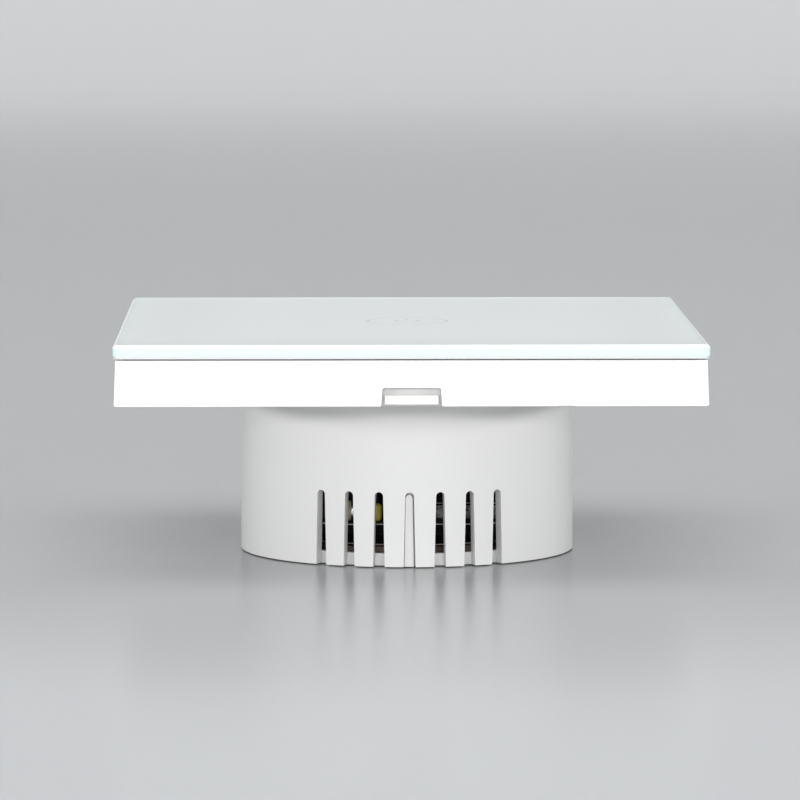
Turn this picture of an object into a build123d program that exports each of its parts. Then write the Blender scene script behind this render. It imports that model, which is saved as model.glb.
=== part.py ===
# Touch light switch for a round wall box: glass front on a clip-on frame, round vented housing
# behind it. Millimetres. It lies on its back: +Z is the glass side, -Y is the edge with the
# pry notch, and the origin is the centre of the round housing's rear face.
from build123d import *
from math import atan, cos, degrees, pi, radians, sin, sqrt
import os

os.makedirs("parts", exist_ok=True)

# Shared values
overrun = 1.0            # how far every cut runs past the face it opens
fit_gap = 0.2            # clearance between moulded pieces that slot together
slide_gap = 0.05         # clearance of pieces that slide or turn in each other
quarter_turn = 90
chip_edge_share = 1 / 6  # chamfer of a moulded chip, as a share of its height

# Glass panel and its tape
glass_width = 86.0
glass_thick = 2.0
glass_corner_radius = 1.0
glass_arris = 0.4
tape_thick = 0.25
tape_inset = 1.1
tape_band = 12.0

# Front frame
body_depth = 25.6        # rear face of the housing to the wall
skirt_height = 6.65
frame_set_in = 0.13      # the skirt's foot stands this far inside the glass all round
frame_lean = 0.25        # and its top this much further in
frame_width_foot = glass_width - 2 * frame_set_in
frame_width_top = frame_width_foot - 2 * frame_lean
frame_wall = 1.2
frame_corner_radius = 0.7
notch_width_top = 8.42
notch_width_foot = 8.8
notch_height = 2.65
notch_corner_radius = 0.4
frame_rib_width = 1.0
frame_rib_depth = 2.4
spoke_depth = 1.6
plate_set_in = 1.87      # the mounting plate's edge inside the skirt's foot
peg_set_in = 7.0         # the pegs inside the plate's edge
peg_step = 14.0          # how much nearer to the middle they stand along Y
rib_set_in = 8.5         # the rib ring inside the pegs
spoke_step = 8.0         # the spokes inside the pegs, along Y
plate_width = frame_width_foot - 2 * plate_set_in
peg_x = plate_width / 2 - peg_set_in
peg_y = peg_x - peg_step
frame_rib_half_span = peg_x - rib_set_in
spoke_offset = peg_y - spoke_step
peg_width = 5.0
peg_thick = 2.0
peg_tip_taper = 0.6

# Light guide and touch spring
guide_inner_radius = 4.6
guide_outer_radius = 7.5
guide_flange_radius = 10.0
guide_flange_thick = 0.8
spring_mean_radius = 2.5
spring_wire = 0.45       # side of the square wire
spring_turns = 3

# Mounting plate
plate_thick = 1.5
plate_corner_radius = 1.5
plate_rim_width = 1.1
plate_rim_height = 1.9
tab_width = 7.76
tab_reach = 0.55
tab_lift = 0.2
wall_screw_spacing = 60.0
wall_slot_radius = 1.9
wall_slot_length = 7.0
standoff_height = 0.9
standoff_half_width = 2.2
socket_wall = 1.3
socket_height = 3.2
brace_width = 1.2
brace_height = 0.7

# Clip springs in the sockets
clip_thick = 0.3
clip_width = 4.0
clip_room = 0.9          # room between peg and socket wall that the bowed strip bridges

# Touch board
board_gap = 3.0          # from the middle of the rib ring to the board's edge
standoff_set_in = 3.5
board_width = 2 * (frame_rib_half_span - board_gap)
standoff_spacing = board_width - 2 * standoff_set_in
board_thick = 1.2
board_corner_radius = 2.0
chip_length = 5.0
chip_width = 4.0
chip_height = 0.95
chip_set_in = 8.0
lamp_length = 1.6
lamp_width = 1.2
lamp_height = 0.6
lamp_ring_radius = 6.05
lamp_count = 4

# Round housing
housing_radius = 25.17
housing_wall = 1.5
inner_radius = housing_radius - housing_wall

# The drum's inside is laid out for an inner radius of 23.67 and a depth of 25.6. Sizes given by
# the plan or the rise grow and shrink with the drum.
plan_share = 1 / 23.67
rise_share = 1 / 25.6
plan = inner_radius * plan_share
rise = body_depth * rise_share
flange_inner_radius = 18.4 * plan
flange_thick = 1.6
boss_ring_radius = 20.8 * plan
boss_radius = 2.4 * plan
short_boss_length = 9.0 * rise
web_width = 1.6
slot_count = 7
slot_pitch_angle = 10.4
slot_height = 11.1
slot_width_top = 1.28
slot_width_foot = 1.8
driver_hole_radius = 2.2

# Back cover
cover_rim_height = 1.82
cover_floor = 1.5
cover_rim_width = 1.2
cover_gap = 0.12
post_radius = 2.6 * plan
support_width = 1.8
support_angle = 31.2     # the supports stand behind the outer slots
collar_wall = 0.9
collar_height = 1.3
entry_recess = 0.4
entry_recess_width = 8.0
key_depth = 2.0
key_set_back = 0.5       # how far the key stays behind the drum's outside
key_gap_right = 0.22
key_gap_left = 0.06

# Power board
power_board_z = 4.3
power_board_thick = 1.6
power_board_radius = 22.9 * plan
power_board_front = 20.5 * plan
power_board_rear = 4.2 * plan

# Screws, by the thread's outer radius
small_screw_radius = 1.0
small_screw_head_radius = 1.9
small_screw_head_height = 1.1
small_screw_length = 2.9
housing_screw_radius = 1.25
housing_screw_head_radius = 2.3
housing_screw_head_height = 1.1
screw_tip_gap = 1.0      # left in a boss's blind hole past its screw
housing_screw_length = short_boss_length - screw_tip_gap
cover_screw_length = 10.0
thread_gap = 0.03

# Terminals
terminal_count = 3
terminal_pitch = 9.5 * plan
block_end_wall = 1.4
block_front = 4.6 * plan
block_rear = 17.8 * plan
block_front_wall = 1.0
block_floor = 1.2
block_height = 10.3
chamber_width = 7.4 * plan
chamber_length = 8.7 * plan
screw_wall = 0.9
shank_gap = 0.15
block_corner_share = 1 / 3
bar_thick = 0.8
bar_width = 4.4 * plan
bar_pin_width = 2.0
bar_pin_reach = 0.7
bar_foot = 2.4 * plan
bar_y = 9.6 * plan              # face of the contact bar that the wire is pressed on
cage_wall = 0.9
cage_thread_wall = 1.7
cage_height = 7.0
wire_radius = 1.6
terminal_screw_radius = 1.45
terminal_head_radius = 2.5
terminal_head_height = 1.6
terminal_groove_depth = 0.9
terminal_groove_width = 0.8

# Relay
relay_length = 19.0 * plan
relay_width = 15.4 * plan
relay_height = 15.2 * rise
relay_x = 8.4 * plan
relay_y = -6.8 * plan
relay_wall = 0.8
relay_base_thick = 2.2
relay_foot_gap = 0.3
yoke_thick = 1.0
yoke_width = 9.0 * plan
yoke_inset = 1.6
core_radius = 2.0 * plan
relay_stack = 9.0        # what the relay's height takes besides the core
core_height = relay_height - relay_stack
pole_radius = 3.2 * plan
pole_thick = 0.8
coil_radius = 4.9 * plan
bobbin_radius = 5.4 * plan
bobbin_flange = 0.7
bobbin_wall = 0.5
armature_thick = 1.0
armature_angle = 3.4
armature_reach = 11.0 * plan
leaf_thick = 0.25
leaf_width = 4.0
leaf_reach = 15.2 * plan
contact_radius = 1.3
contact_height = 0.5
contact_strip = 0.5
contact_clear = 0.06

# Parts on the power board
film_cap_length = 10.4 * plan
film_cap_width = 5.0 * plan
film_cap_height = 9.4
film_cap_x = -8.9 * plan
film_cap_y = -13.4 * plan
film_cap_corner = 0.6
dipped_width = 1.9 * plan
dipped_thick = 1.5 * plan
dipped_height = 2.7 * rise
dipped_x = -4.95 * plan
dipped_y = -17.2 * plan
dipped_corner = 0.4
lytic_radius = 3.1 * plan
lytic_height = 11.0
lytic_x = -17.2 * plan
lytic_y = -8.5 * plan
lytic_rim = 0.35
core_length = 10.2 * plan
core_width = 7.2 * plan
core_limb = 2.2 * plan
transformer_height = 9.6
transformer_x = -8.4 * plan
transformer_y = -6.7 * plan
transformer_flange = 0.9
foot_rib_share = 3 / 4
varistor_radius = 3.5 * plan
varistor_thick = 2.8 * plan
varistor_y = -17.2 * plan
fuse_radius = 1.5 * plan
fuse_cap_radius = 1.7 * plan
fuse_length = 6.4 * plan
fuse_cap_length = 1.2
fuse_x = -9.3 * plan
fuse_y = -18.0 * plan
rectifier_length = 4.8
rectifier_width = 4.0
rectifier_height = 1.6
supply_chip_length = 4.9
supply_chip_width = 3.9
supply_chip_height = 1.5

# Header between the boards
pin_count = 5
pin_pitch = 2.0
pin_side = 0.5
pin_tail = 1.1
strip_width = 2.1
strip_height = 2.0
strip_waist_share = 1 / 5
header_x = -8.4 * plan
header_y = -1.5 * plan
socket_body_height = 4.0
pin_socket_gap = 0.07

# Levels that follow from the sizes above
wall_z = body_depth
frame_top = wall_z + skirt_height
glass_bottom = frame_top + tape_thick
glass_top = glass_bottom + glass_thick
ceiling = frame_top - frame_wall
plate_top = wall_z + plate_thick
board_z = plate_top + standoff_height
board_top = board_z + board_thick
power_board_top = power_board_z + power_board_thick
skirt_draft = degrees(atan((frame_width_foot - frame_width_top) / 2 / skirt_height))
cavity_foot = frame_width_foot - 2 * frame_wall


def block(x_low, x_high, y_low, y_high, z_low, z_high):
    """A box between two corners."""
    centre = Pos((x_low + x_high) / 2, (y_low + y_high) / 2, (z_low + z_high) / 2)
    return centre * Box(x_high - x_low, y_high - y_low, z_high - z_low)


def rod(radius, z_low, z_high, x=0, y=0):
    """An upright cylinder between two levels."""
    return Pos(x, y, (z_low + z_high) / 2) * Cylinder(radius, z_high - z_low)


def rod_along_y(radius, y_low, y_high, x, z):
    """A cylinder along Y between two places."""
    return Pos(x, (y_low + y_high) / 2, z) * Rot(X=quarter_turn) * Cylinder(radius, y_high - y_low)


def slab(width, length, corner_radius, z_low, z_high, taper=0):
    """A plate with rounded corners, drawn in by its taper as it rises."""
    outline = Plane.XY.offset(z_low) * RectangleRounded(width, length, corner_radius)
    return extrude(outline, z_high - z_low, taper=taper)


def around(ring_radius, count, first_angle=0):
    """Places evenly spaced on a circle."""
    step = 2 * pi / count
    angles = [radians(first_angle) + step * index for index in range(count)]
    return [(ring_radius * cos(angle), ring_radius * sin(angle)) for angle in angles]


def corners(half_x, half_y):
    """The four corners of a rectangle about the centre."""
    return [(sx * half_x, sy * half_y) for sx in (-1, 1) for sy in (-1, 1)]


def one_solid(shape):
    """The single solid of a shape."""
    found = shape.solids()
    if len(found) != 1:
        raise ValueError(f"expected one solid, found {len(found)}")
    return found[0]


def write(name, pieces):
    """Write one node: a single solid or a group of separate solids."""
    solids = pieces if isinstance(pieces, list) else [pieces]
    solids = [one_solid(piece) for piece in solids]
    shape = solids[0] if len(solids) == 1 else Compound(children=solids)
    export_step(shape, f"parts/{name}.step")


# Glass: float glass with rounded corners and a ground arris round both faces
def make_glass():
    plate = slab(glass_width, glass_width, glass_corner_radius, glass_bottom, glass_top)
    rims = plate.faces().sort_by(Axis.Z)[-1].edges() + plate.faces().sort_by(Axis.Z)[0].edges()
    return chamfer(rims, glass_arris)


# Tape: a flat square ring, set in from the frame's edge
def make_tape():
    outer = frame_width_top - 2 * tape_inset
    inner = outer - 2 * tape_band
    ring = Rectangle(outer, outer) - Rectangle(inner, inner)
    return extrude(Plane.XY.offset(frame_top) * ring, tape_thick)


def peg(x, y):
    """One peg under the frame: a flat post with a tapered tip."""
    tip_z = plate_top + 2 * fit_gap
    post = block(
        x - peg_thick / 2,
        x + peg_thick / 2,
        y - peg_width / 2,
        y + peg_width / 2,
        tip_z,
        ceiling + frame_wall / 2,
    )
    tip_edges = post.faces().sort_by(Axis.Z)[0].edges()
    return chamfer(tip_edges, peg_tip_taper)


# Front frame: a drafted square cap, open below, with ribs, pegs and the pry notch
def make_front_frame():
    shell = slab(frame_width_foot, frame_width_foot, frame_corner_radius, wall_z, frame_top, skirt_draft)
    room = Plane.XY.offset(wall_z - overrun) * Rectangle(cavity_foot, cavity_foot)
    shell -= extrude(room, skirt_height - frame_wall + overrun, taper=skirt_draft)

    # A square rib ring round the touch board, and spokes from it to the skirt
    rib_inner = 2 * frame_rib_half_span - frame_rib_width
    rib_outer = 2 * frame_rib_half_span + frame_rib_width
    ring = Rectangle(rib_outer, rib_outer) - Rectangle(rib_inner, rib_inner)
    shell += extrude(Plane.XY.offset(ceiling - frame_rib_depth) * ring, frame_rib_depth + frame_wall / 2)
    spoke_end = frame_width_top / 2 - frame_wall / 2
    for quarter in range(4):
        for side in (-1, 1):
            spoke = block(
                frame_rib_half_span,
                spoke_end,
                side * spoke_offset - frame_rib_width / 2,
                side * spoke_offset + frame_rib_width / 2,
                ceiling - spoke_depth,
                ceiling + frame_wall / 2,
            )
            shell += Rot(Z=quarter_turn * quarter) * spoke
    for x, y in corners(peg_x, peg_y):
        shell += peg(x, y)

    # The pry notch in the middle of the front edge, wider at its foot
    notch_top = wall_z + notch_height
    outline = Polyline(
        (-notch_width_foot / 2, wall_z),
        (-notch_width_top / 2, notch_top),
        (notch_width_top / 2, notch_top),
        (notch_width_foot / 2, wall_z),
        close=True,
    )
    front_face = Plane(origin=(0, 0, 0), x_dir=(1, 0, 0), z_dir=(0, -1, 0))
    notch = extrude(front_face * make_face(outline), frame_width_foot / 2 + overrun)
    notch -= block(-glass_width, glass_width, -cavity_foot / 2 + 2 * frame_wall, overrun, 0, frame_top)
    top_edges = notch.edges().filter_by(Axis.Y).sort_by(Axis.Z)[-2:]
    shell -= fillet(top_edges, notch_corner_radius)

    # The round hole that the light guide fills
    shell -= rod(guide_outer_radius + slide_gap, ceiling - overrun, frame_top + overrun)
    return shell


# Light guide: a turned ring of milky plastic with a flange under the frame
def make_light_guide():
    profile = Polyline(
        (guide_inner_radius, ceiling - guide_flange_thick),
        (guide_flange_radius, ceiling - guide_flange_thick),
        (guide_flange_radius, ceiling),
        (guide_outer_radius, ceiling),
        (guide_outer_radius, glass_bottom),
        (guide_inner_radius, glass_bottom),
        close=True,
    )
    return revolve(Plane.XZ * make_face(profile), Axis.Z)


# Touch spring: the electrode, a short coil of square wire between the board and the glass
def make_touch_spring():
    foot = board_top + slide_gap + spring_wire / 2
    height = glass_bottom - slide_gap - spring_wire / 2 - foot
    pitch = height / spring_turns
    print("touch spring: gap between turns", round(pitch - spring_wire, 3))
    path = Pos(0, 0, foot) * Helix(pitch, height, spring_mean_radius)
    start = Plane(origin=path @ 0, x_dir=(1, 0, 0), z_dir=path % 0)
    return sweep(start * Rectangle(spring_wire, spring_wire), path=path, is_frenet=True)


def socket_places():
    """Where the plate's four sockets stand, under the frame's pegs."""
    return corners(peg_x, peg_y)


def socket_box(x, y):
    """The pocket of one socket: the peg, its clearance and the room for the bowed strip."""
    side = 1 if x > 0 else -1
    near = x - side * (peg_thick / 2 + fit_gap)
    far = x + side * (peg_thick / 2 + clip_room)
    return min(near, far), max(near, far), y - peg_width / 2 - fit_gap, y + peg_width / 2 + fit_gap


def countersink(x, y):
    """The hole for one housing screw: a straight bore under a cone for its head."""
    head_z = plate_top - housing_screw_head_height
    bore = rod(housing_screw_radius + thread_gap, wall_z - overrun, plate_top, x, y)
    cone = Pos(x, y, (head_z + plate_top) / 2) * Cone(
        housing_screw_radius + thread_gap, housing_screw_head_radius + thread_gap, housing_screw_head_height
    )
    return bore + cone


def board_screw_places():
    """Where the touch board's two screws stand, on a diagonal."""
    half = standoff_spacing / 2
    return [(-half, -half), (half, half)]


def housing_screw_places():
    """The two countersunk screws, at the front and the rear boss."""
    return [(0, -boss_ring_radius), (0, boss_ring_radius)]


def header_pin_places():
    """Where the header's pins stand."""
    first = header_x - pin_pitch * (pin_count - 1) / 2
    return [(first + pin_pitch * index, header_y) for index in range(pin_count)]


# Mounting plate: a square moulding with a rim, wall-screw slots, sockets and standoffs
def make_mounting_plate():
    plate = slab(plate_width, plate_width, plate_corner_radius, wall_z, plate_top)
    rim_inner = plate_width - 2 * plate_rim_width
    rim = RectangleRounded(plate_width, plate_width, plate_corner_radius) - Rectangle(rim_inner, rim_inner)
    plate += extrude(Plane.XY.offset(plate_top) * rim, plate_rim_height)

    # The locating tab stands out from the front edge into the pry notch
    edge = plate_width / 2
    plate += block(
        -tab_width / 2,
        tab_width / 2,
        -edge - tab_reach,
        -edge + plate_rim_width,
        wall_z + tab_lift,
        plate_top,
    )

    # Four pads carry the touch board, braced out to the corners, and two of them take its screws
    standoff_half = standoff_spacing / 2
    brace_length = sqrt(2) * (edge - standoff_half)
    brace_centre = (edge + standoff_half) / 2 - plate_rim_width / 2
    for x, y in corners(1, 1):
        angle = quarter_turn / 2 if x * y > 0 else -quarter_turn / 2
        brace = Pos(x * brace_centre, y * brace_centre, plate_top + brace_height / 2)
        plate += brace * Rot(Z=angle) * Box(
            brace_length - 2 * plate_corner_radius,
            brace_width,
            brace_height,
        )
    for x, y in corners(standoff_half, standoff_half):
        plate += block(
            x - standoff_half_width,
            x + standoff_half_width,
            y - standoff_half_width,
            y + standoff_half_width,
            plate_top,
            board_z,
        )
    for x, y in board_screw_places():
        plate -= rod(
            small_screw_radius + thread_gap,
            board_top - small_screw_length - fit_gap,
            board_z + overrun,
            x,
            y,
        )

    # Sockets for the frame's pegs
    for x, y in socket_places():
        x_low, x_high, y_low, y_high = socket_box(x, y)
        top = plate_top + socket_height
        plate += block(
            x_low - socket_wall,
            x_high + socket_wall,
            y_low - socket_wall,
            y_high + socket_wall,
            wall_z + fit_gap,
            top,
        )
        plate -= block(x_low, x_high, y_low, y_high, plate_top, top + overrun)

    # Slots for the wall box's screws, two along X and two along Y
    for quarter in range(4):
        slot = Pos(
            wall_screw_spacing / 2,
            0,
            wall_z - overrun,
        ) * SlotOverall(wall_slot_length, 2 * wall_slot_radius)
        plate -= Rot(Z=quarter_turn * quarter) * extrude(slot, plate_thick + 2 * overrun)

    # Countersunk holes over the housing's bosses, and the window for the header's socket
    for x, y in housing_screw_places():
        plate -= countersink(x, y)
    half_length = pin_count * pin_pitch / 2 + 2 * fit_gap
    half_width = strip_width / 2 + 2 * fit_gap
    plate -= block(
        header_x - half_length,
        header_x + half_length,
        header_y - half_width,
        header_y + half_width,
        wall_z - overrun,
        plate_top + overrun,
    )
    return plate


# Clip springs: bowed strips of spring steel that press on the pegs
def make_clip_springs():
    strips = []
    bow = clip_room - clip_thick - slide_gap
    for x, y in socket_places():
        side = 1 if x > 0 else -1
        wall_x = x + side * (peg_thick / 2 + clip_room)
        foot = plate_top
        top = plate_top + socket_height
        line = ThreePointArc(
            (wall_x, y, foot),
            (wall_x - side * bow, y, (foot + top) / 2),
            (wall_x, y, top),
        )
        back = ThreePointArc(
            (wall_x - side * clip_thick, y, top),
            (wall_x - side * (bow + clip_thick), y, (foot + top) / 2),
            (wall_x - side * clip_thick, y, foot),
        )
        ends = Line(line @ 1, back @ 0) + Line(back @ 1, line @ 0)
        section = make_face(line + back + ends)
        strips.append(extrude(section, clip_width / 2, dir=(0, 1, 0), both=True))
    return strips


# Touch board: fibreglass, held on the plate's standoffs
def make_touch_board():
    board = slab(board_width, board_width, board_corner_radius, board_z, board_top)
    for x, y in board_screw_places():
        board -= rod(small_screw_radius + slide_gap, board_z - overrun, board_top + overrun, x, y)
    for x, y in header_pin_places():
        side = pin_side / 2 + pin_socket_gap
        board -= block(x - side, x + side, y - side, y + side, board_z - overrun, board_top + overrun)
    return board


def make_touch_chip():
    x_low = board_width / 2 - chip_set_in - chip_width / 2
    y_low = -chip_length / 2
    body = block(x_low, x_low + chip_width, y_low, y_low + chip_length, board_top, board_top + chip_height)
    return chamfer(body.faces().sort_by(Axis.Z)[-1].edges(), chip_height * chip_edge_share)


def make_lamps():
    lamps = []
    for index, (x, y) in enumerate(around(lamp_ring_radius, lamp_count, quarter_turn / 2)):
        turn = Rot(Z=quarter_turn / 2 + quarter_turn * index)
        lamps.append(Pos(x, y, board_top + lamp_height / 2) * turn * Box(
            lamp_length,
            lamp_width,
            lamp_height,
        ))
    return lamps


def pin_holes(z_low, z_high, gap):
    """Square holes for all the pins between two levels."""
    holes = None
    for x, y in header_pin_places():
        side = pin_side / 2 + gap
        hole = block(x - side, x + side, y - side, y + side, z_low, z_high)
        holes = hole if holes is None else holes + hole
    return holes


def strip(z_low, z_high):
    """One plastic strip of the header, with a waist between each pair of pins."""
    half_length = pin_count * pin_pitch / 2
    body = block(
        header_x - half_length,
        header_x + half_length,
        header_y - strip_width / 2,
        header_y + strip_width / 2,
        z_low,
        z_high,
    )
    upright = body.edges().filter_by(Axis.Z)
    return chamfer(upright, strip_width * strip_waist_share)


def make_board_socket():
    low = board_z - socket_body_height
    return strip(low, board_z) - pin_holes(low - overrun, board_z + overrun, pin_socket_gap)


def make_header_strips():
    low_strip = strip(power_board_top, power_board_top + strip_height)
    high_z = board_z - socket_body_height - strip_height - fit_gap
    high_strip = strip(high_z, high_z + strip_height)
    holes = pin_holes(power_board_z, board_top, 0)
    return [low_strip - holes, high_strip - holes]


def make_header_pins():
    pins = []
    for x, y in header_pin_places():
        side = pin_side / 2
        pin = block(
            x - side,
            x + side,
            y - side,
            y + side,
            power_board_z - pin_tail,
            board_z + board_thick / 2,
        )
        pins.append(pin)
    return pins


def vent_outline(width_foot, width_top, height):
    """A slot's outline: open at the foot, narrower towards its round end."""
    end_radius = width_top / 2
    shoulder = height - end_radius
    left = Line((-width_foot / 2, -overrun), (-end_radius, shoulder))
    crown = ThreePointArc((-end_radius, shoulder), (0, height), (end_radius, shoulder))
    right = Line((end_radius, shoulder), (width_foot / 2, -overrun))
    foot = Line((width_foot / 2, -overrun), (-width_foot / 2, -overrun))
    return make_face(left + crown + right + foot)


front_plane = Plane(origin=(0, 0, 0), x_dir=(1, 0, 0), z_dir=(0, -1, 0))


def terminal_places():
    """Where the terminals stand along X."""
    first = -terminal_pitch * (terminal_count - 1) / 2
    return [first + terminal_pitch * index for index in range(terminal_count)]


# Levels of the terminals
block_bottom = cover_floor
block_top = block_bottom + block_height
cage_bottom = block_bottom + block_floor + 2 * fit_gap
terminal_axis_z = cage_bottom + cage_height / 2
chamber_front = block_front + block_front_wall
chamber_rear = chamber_front + chamber_length
head_seat = chamber_rear + screw_wall
cage_front = chamber_front + fit_gap / 2
wire_y = (cage_front + cage_wall + bar_y) / 2
head_end = head_seat + terminal_head_height


# Round housing: a drum with an inward flange, screw bosses, vent slots and driver holes
def make_housing():
    flange_z = wall_z - flange_thick
    profile = Polyline(
        (inner_radius, 0),
        (housing_radius, 0),
        (housing_radius, wall_z),
        (flange_inner_radius, wall_z),
        (flange_inner_radius, flange_z),
        (inner_radius, flange_z),
        close=True,
    )
    drum = revolve(Plane.XZ * make_face(profile), Axis.Z)

    # Two full bosses left and right reach down to the power board, two short ones front and rear
    for index, (x, y) in enumerate(around(boss_ring_radius, 4)):
        full = index % 2 == 0
        low = power_board_top if full else wall_z - short_boss_length
        drum += rod(boss_radius, low, wall_z, x, y)
        web = block(
            boss_ring_radius,
            inner_radius + housing_wall / 2,
            -web_width / 2,
            web_width / 2,
            low,
            wall_z,
        )
        drum += Rot(Z=quarter_turn * index) * web
        if full:
            drum -= rod(small_screw_radius + thread_gap, low - overrun, low + cover_screw_length, x, y)
        else:
            drum -= rod(
                housing_screw_radius + thread_gap,
                wall_z - housing_screw_length,
                wall_z + overrun,
                x,
                y,
            )

    # Seven vent slots in the front of the drum
    cutter = extrude(
        front_plane * vent_outline(slot_width_foot, slot_width_top, slot_height),
        housing_radius + overrun,
    )
    cutter -= rod(inner_radius - overrun, -2 * overrun, wall_z)
    for index in range(slot_count):
        angle = slot_pitch_angle * (index - (slot_count - 1) / 2)
        drum -= Rot(Z=angle) * cutter

    # Holes for the screwdriver behind the terminal screws
    for x in terminal_places():
        drum -= rod_along_y(driver_hole_radius, block_rear, housing_radius + overrun, x, terminal_axis_z)
    return drum


# Back cover: a disc with a rim, screw posts, a collar for the terminals, and the slot key
def make_back_cover():
    radius = inner_radius - cover_gap
    profile = Polyline(
        (0, 0),
        (radius, 0),
        (radius, cover_rim_height),
        (radius - cover_rim_width, cover_rim_height),
        (radius - cover_rim_width, cover_floor),
        (0, cover_floor),
        close=True,
    )
    cover = revolve(Plane.XZ * make_face(profile), Axis.Z)
    for x in (-boss_ring_radius, boss_ring_radius):
        cover += rod(post_radius, cover_floor / 2, power_board_z, x, 0) & rod(radius, 0, power_board_z)
        cover -= rod(small_screw_radius + slide_gap, -overrun, power_board_z + overrun, x, 0)
        cover -= rod(small_screw_head_radius + fit_gap, -overrun, cover_floor + fit_gap, x, 0)

    # Support pins under the front of the power board
    for side in (-1, 1):
        angle = radians(side * support_angle)
        reach = power_board_front - overrun
        x, y = reach * sin(angle), -reach * cos(angle)
        half = support_width / 2
        cover += block(x - half, x + half, y - half, y + half, cover_floor / 2, power_board_z)

    # A collar that locates the terminal block's foot
    block_half = block_half_length() + fit_gap
    outer = block(
        -block_half - collar_wall,
        block_half + collar_wall,
        block_front - fit_gap - collar_wall,
        block_rear + fit_gap + collar_wall,
        cover_floor / 2,
        cover_floor + collar_height,
    )
    room = block(
        -block_half,
        block_half,
        block_front - fit_gap,
        block_rear + fit_gap,
        cover_floor,
        power_board_z,
    )
    cover += outer & rod(radius, 0, power_board_z)
    cover -= room

    # Wire entries in a shallow recess
    recess_half = block_half_length()
    recess_low = wire_y - entry_recess_width / 2
    recess_high = wire_y + entry_recess_width / 2
    cover -= block(-recess_half, recess_half, recess_low, recess_high, -overrun, entry_recess)
    for x in terminal_places():
        cover -= rod(wire_radius, -overrun, cover_floor + overrun, x, wire_y)

    # The key that fills the middle slot, a little off centre in it
    key = vent_outline(slot_width_foot, slot_width_top, slot_height - 2 * fit_gap)
    key = extrude(front_plane * key, housing_radius - key_set_back)
    key -= block(-slot_width_foot, slot_width_foot, -radius + key_depth, overrun, -2 * overrun, slot_height)
    key -= block(-slot_width_foot, slot_width_foot, -housing_radius, overrun, -2 * overrun, 0)
    trim = key_gap_right + key_gap_left
    narrowed = 1 - trim / slot_width_top
    key = scale(key, by=(narrowed, 1, 1))
    cover += Pos((key_gap_left - key_gap_right) / 2, 0, 0) * key
    return cover


def block_half_length():
    """Half of the terminal block's length along X."""
    return (terminal_pitch * (terminal_count - 1) + chamber_width) / 2 + block_end_wall


# Power board: a disc with a straight front and rear edge
def make_power_board():
    disc = Circle(power_board_radius)
    depth = power_board_front + power_board_rear
    trim = Pos(0, (power_board_rear - power_board_front) / 2) * Rectangle(2 * power_board_radius, depth)
    board = extrude(Plane.XY.offset(power_board_z) * (disc & trim), power_board_thick)
    for x in (-boss_ring_radius, boss_ring_radius):
        board -= rod(
            small_screw_radius + slide_gap,
            power_board_z - overrun,
            power_board_top + overrun,
            x,
            0,
        )
    for x in terminal_places():
        half = bar_pin_width / 2 + slide_gap
        board -= block(
            x - half,
            x + half,
            bar_foot - slide_gap,
            bar_foot + bar_thick + slide_gap,
            power_board_z - overrun,
            power_board_top + overrun,
        )
    return board - pin_holes(power_board_z - overrun, power_board_top + overrun, 0)


# Terminal block: three chambers open at the top, each with a wire hole and a screw well
def make_terminal_block():
    half = block_half_length()
    body = block(-half, half, block_front, block_rear, block_bottom, block_top)
    body = chamfer(body.edges().filter_by(Axis.Z), block_end_wall * block_corner_share)
    for x in terminal_places():
        body -= block(
            x - chamber_width / 2,
            x + chamber_width / 2,
            chamber_front,
            chamber_rear,
            block_bottom + block_floor,
            block_top + overrun,
        )
        body -= rod(wire_radius, block_bottom - overrun, block_bottom + block_floor + overrun, x, wire_y)
        shank_hole = terminal_screw_radius + shank_gap
        body -= rod_along_y(shank_hole, chamber_rear - overrun, head_seat + overrun, x, terminal_axis_z)
        body -= rod_along_y(
            terminal_head_radius + fit_gap,
            head_seat,
            block_rear + overrun,
            x,
            terminal_axis_z,
        )

    # Slim pockets between the chambers' wells save plastic and keep the walls even
    gap_half = (terminal_pitch - 2 * (terminal_head_radius + fit_gap)) / 2 - block_front_wall
    for x in terminal_places()[:-1]:
        middle = x + terminal_pitch / 2
        body -= block(
            middle - gap_half,
            middle + gap_half,
            chamber_rear + screw_wall,
            block_rear + overrun,
            block_bottom + block_floor,
            block_top + overrun,
        )
    return body


# Contact bars: folded brass strips from the clamp chamber over the block's wall to the board
def make_contact_bars():
    bars = []
    top = block_top + bar_thick
    pin_shoulder = power_board_top + bar_thick
    for x in terminal_places():
        outline = Polyline(
            (bar_y + bar_thick, cage_bottom),
            (bar_y + bar_thick, top),
            (bar_foot, top),
            (bar_foot, pin_shoulder),
            (bar_foot + bar_thick, pin_shoulder),
            (bar_foot + bar_thick, block_top),
            (bar_y, block_top),
            (bar_y, cage_bottom),
            close=True,
        )
        strap = extrude(Plane.YZ * make_face(outline), bar_width / 2, both=True)
        bend_edges = strap.edges().filter_by(Axis.X).group_by(Axis.Z)[-1]
        strap = fillet(bend_edges, bar_thick)
        pin = block(
            -bar_pin_width / 2,
            bar_pin_width / 2,
            bar_foot,
            bar_foot + bar_thick,
            power_board_z - bar_pin_reach,
            pin_shoulder + bar_thick,
        )
        bars.append(Pos(x, 0, 0) * (strap + pin))
    return bars


def make_terminal_screw(x):
    """A captive screw with a slotted head; its tip bears on the contact bar."""
    tip = bar_y + bar_thick + slide_gap
    shank = rod_along_y(terminal_screw_radius, tip, head_seat, x, terminal_axis_z)
    head = rod_along_y(terminal_head_radius, head_seat, head_end, x, terminal_axis_z)
    half = terminal_groove_width / 2
    groove = block(
        x - terminal_head_radius,
        x + terminal_head_radius,
        head_end - terminal_groove_depth,
        head_end + overrun,
        terminal_axis_z - half,
        terminal_axis_z + half,
    )
    return shank + head - groove


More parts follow.
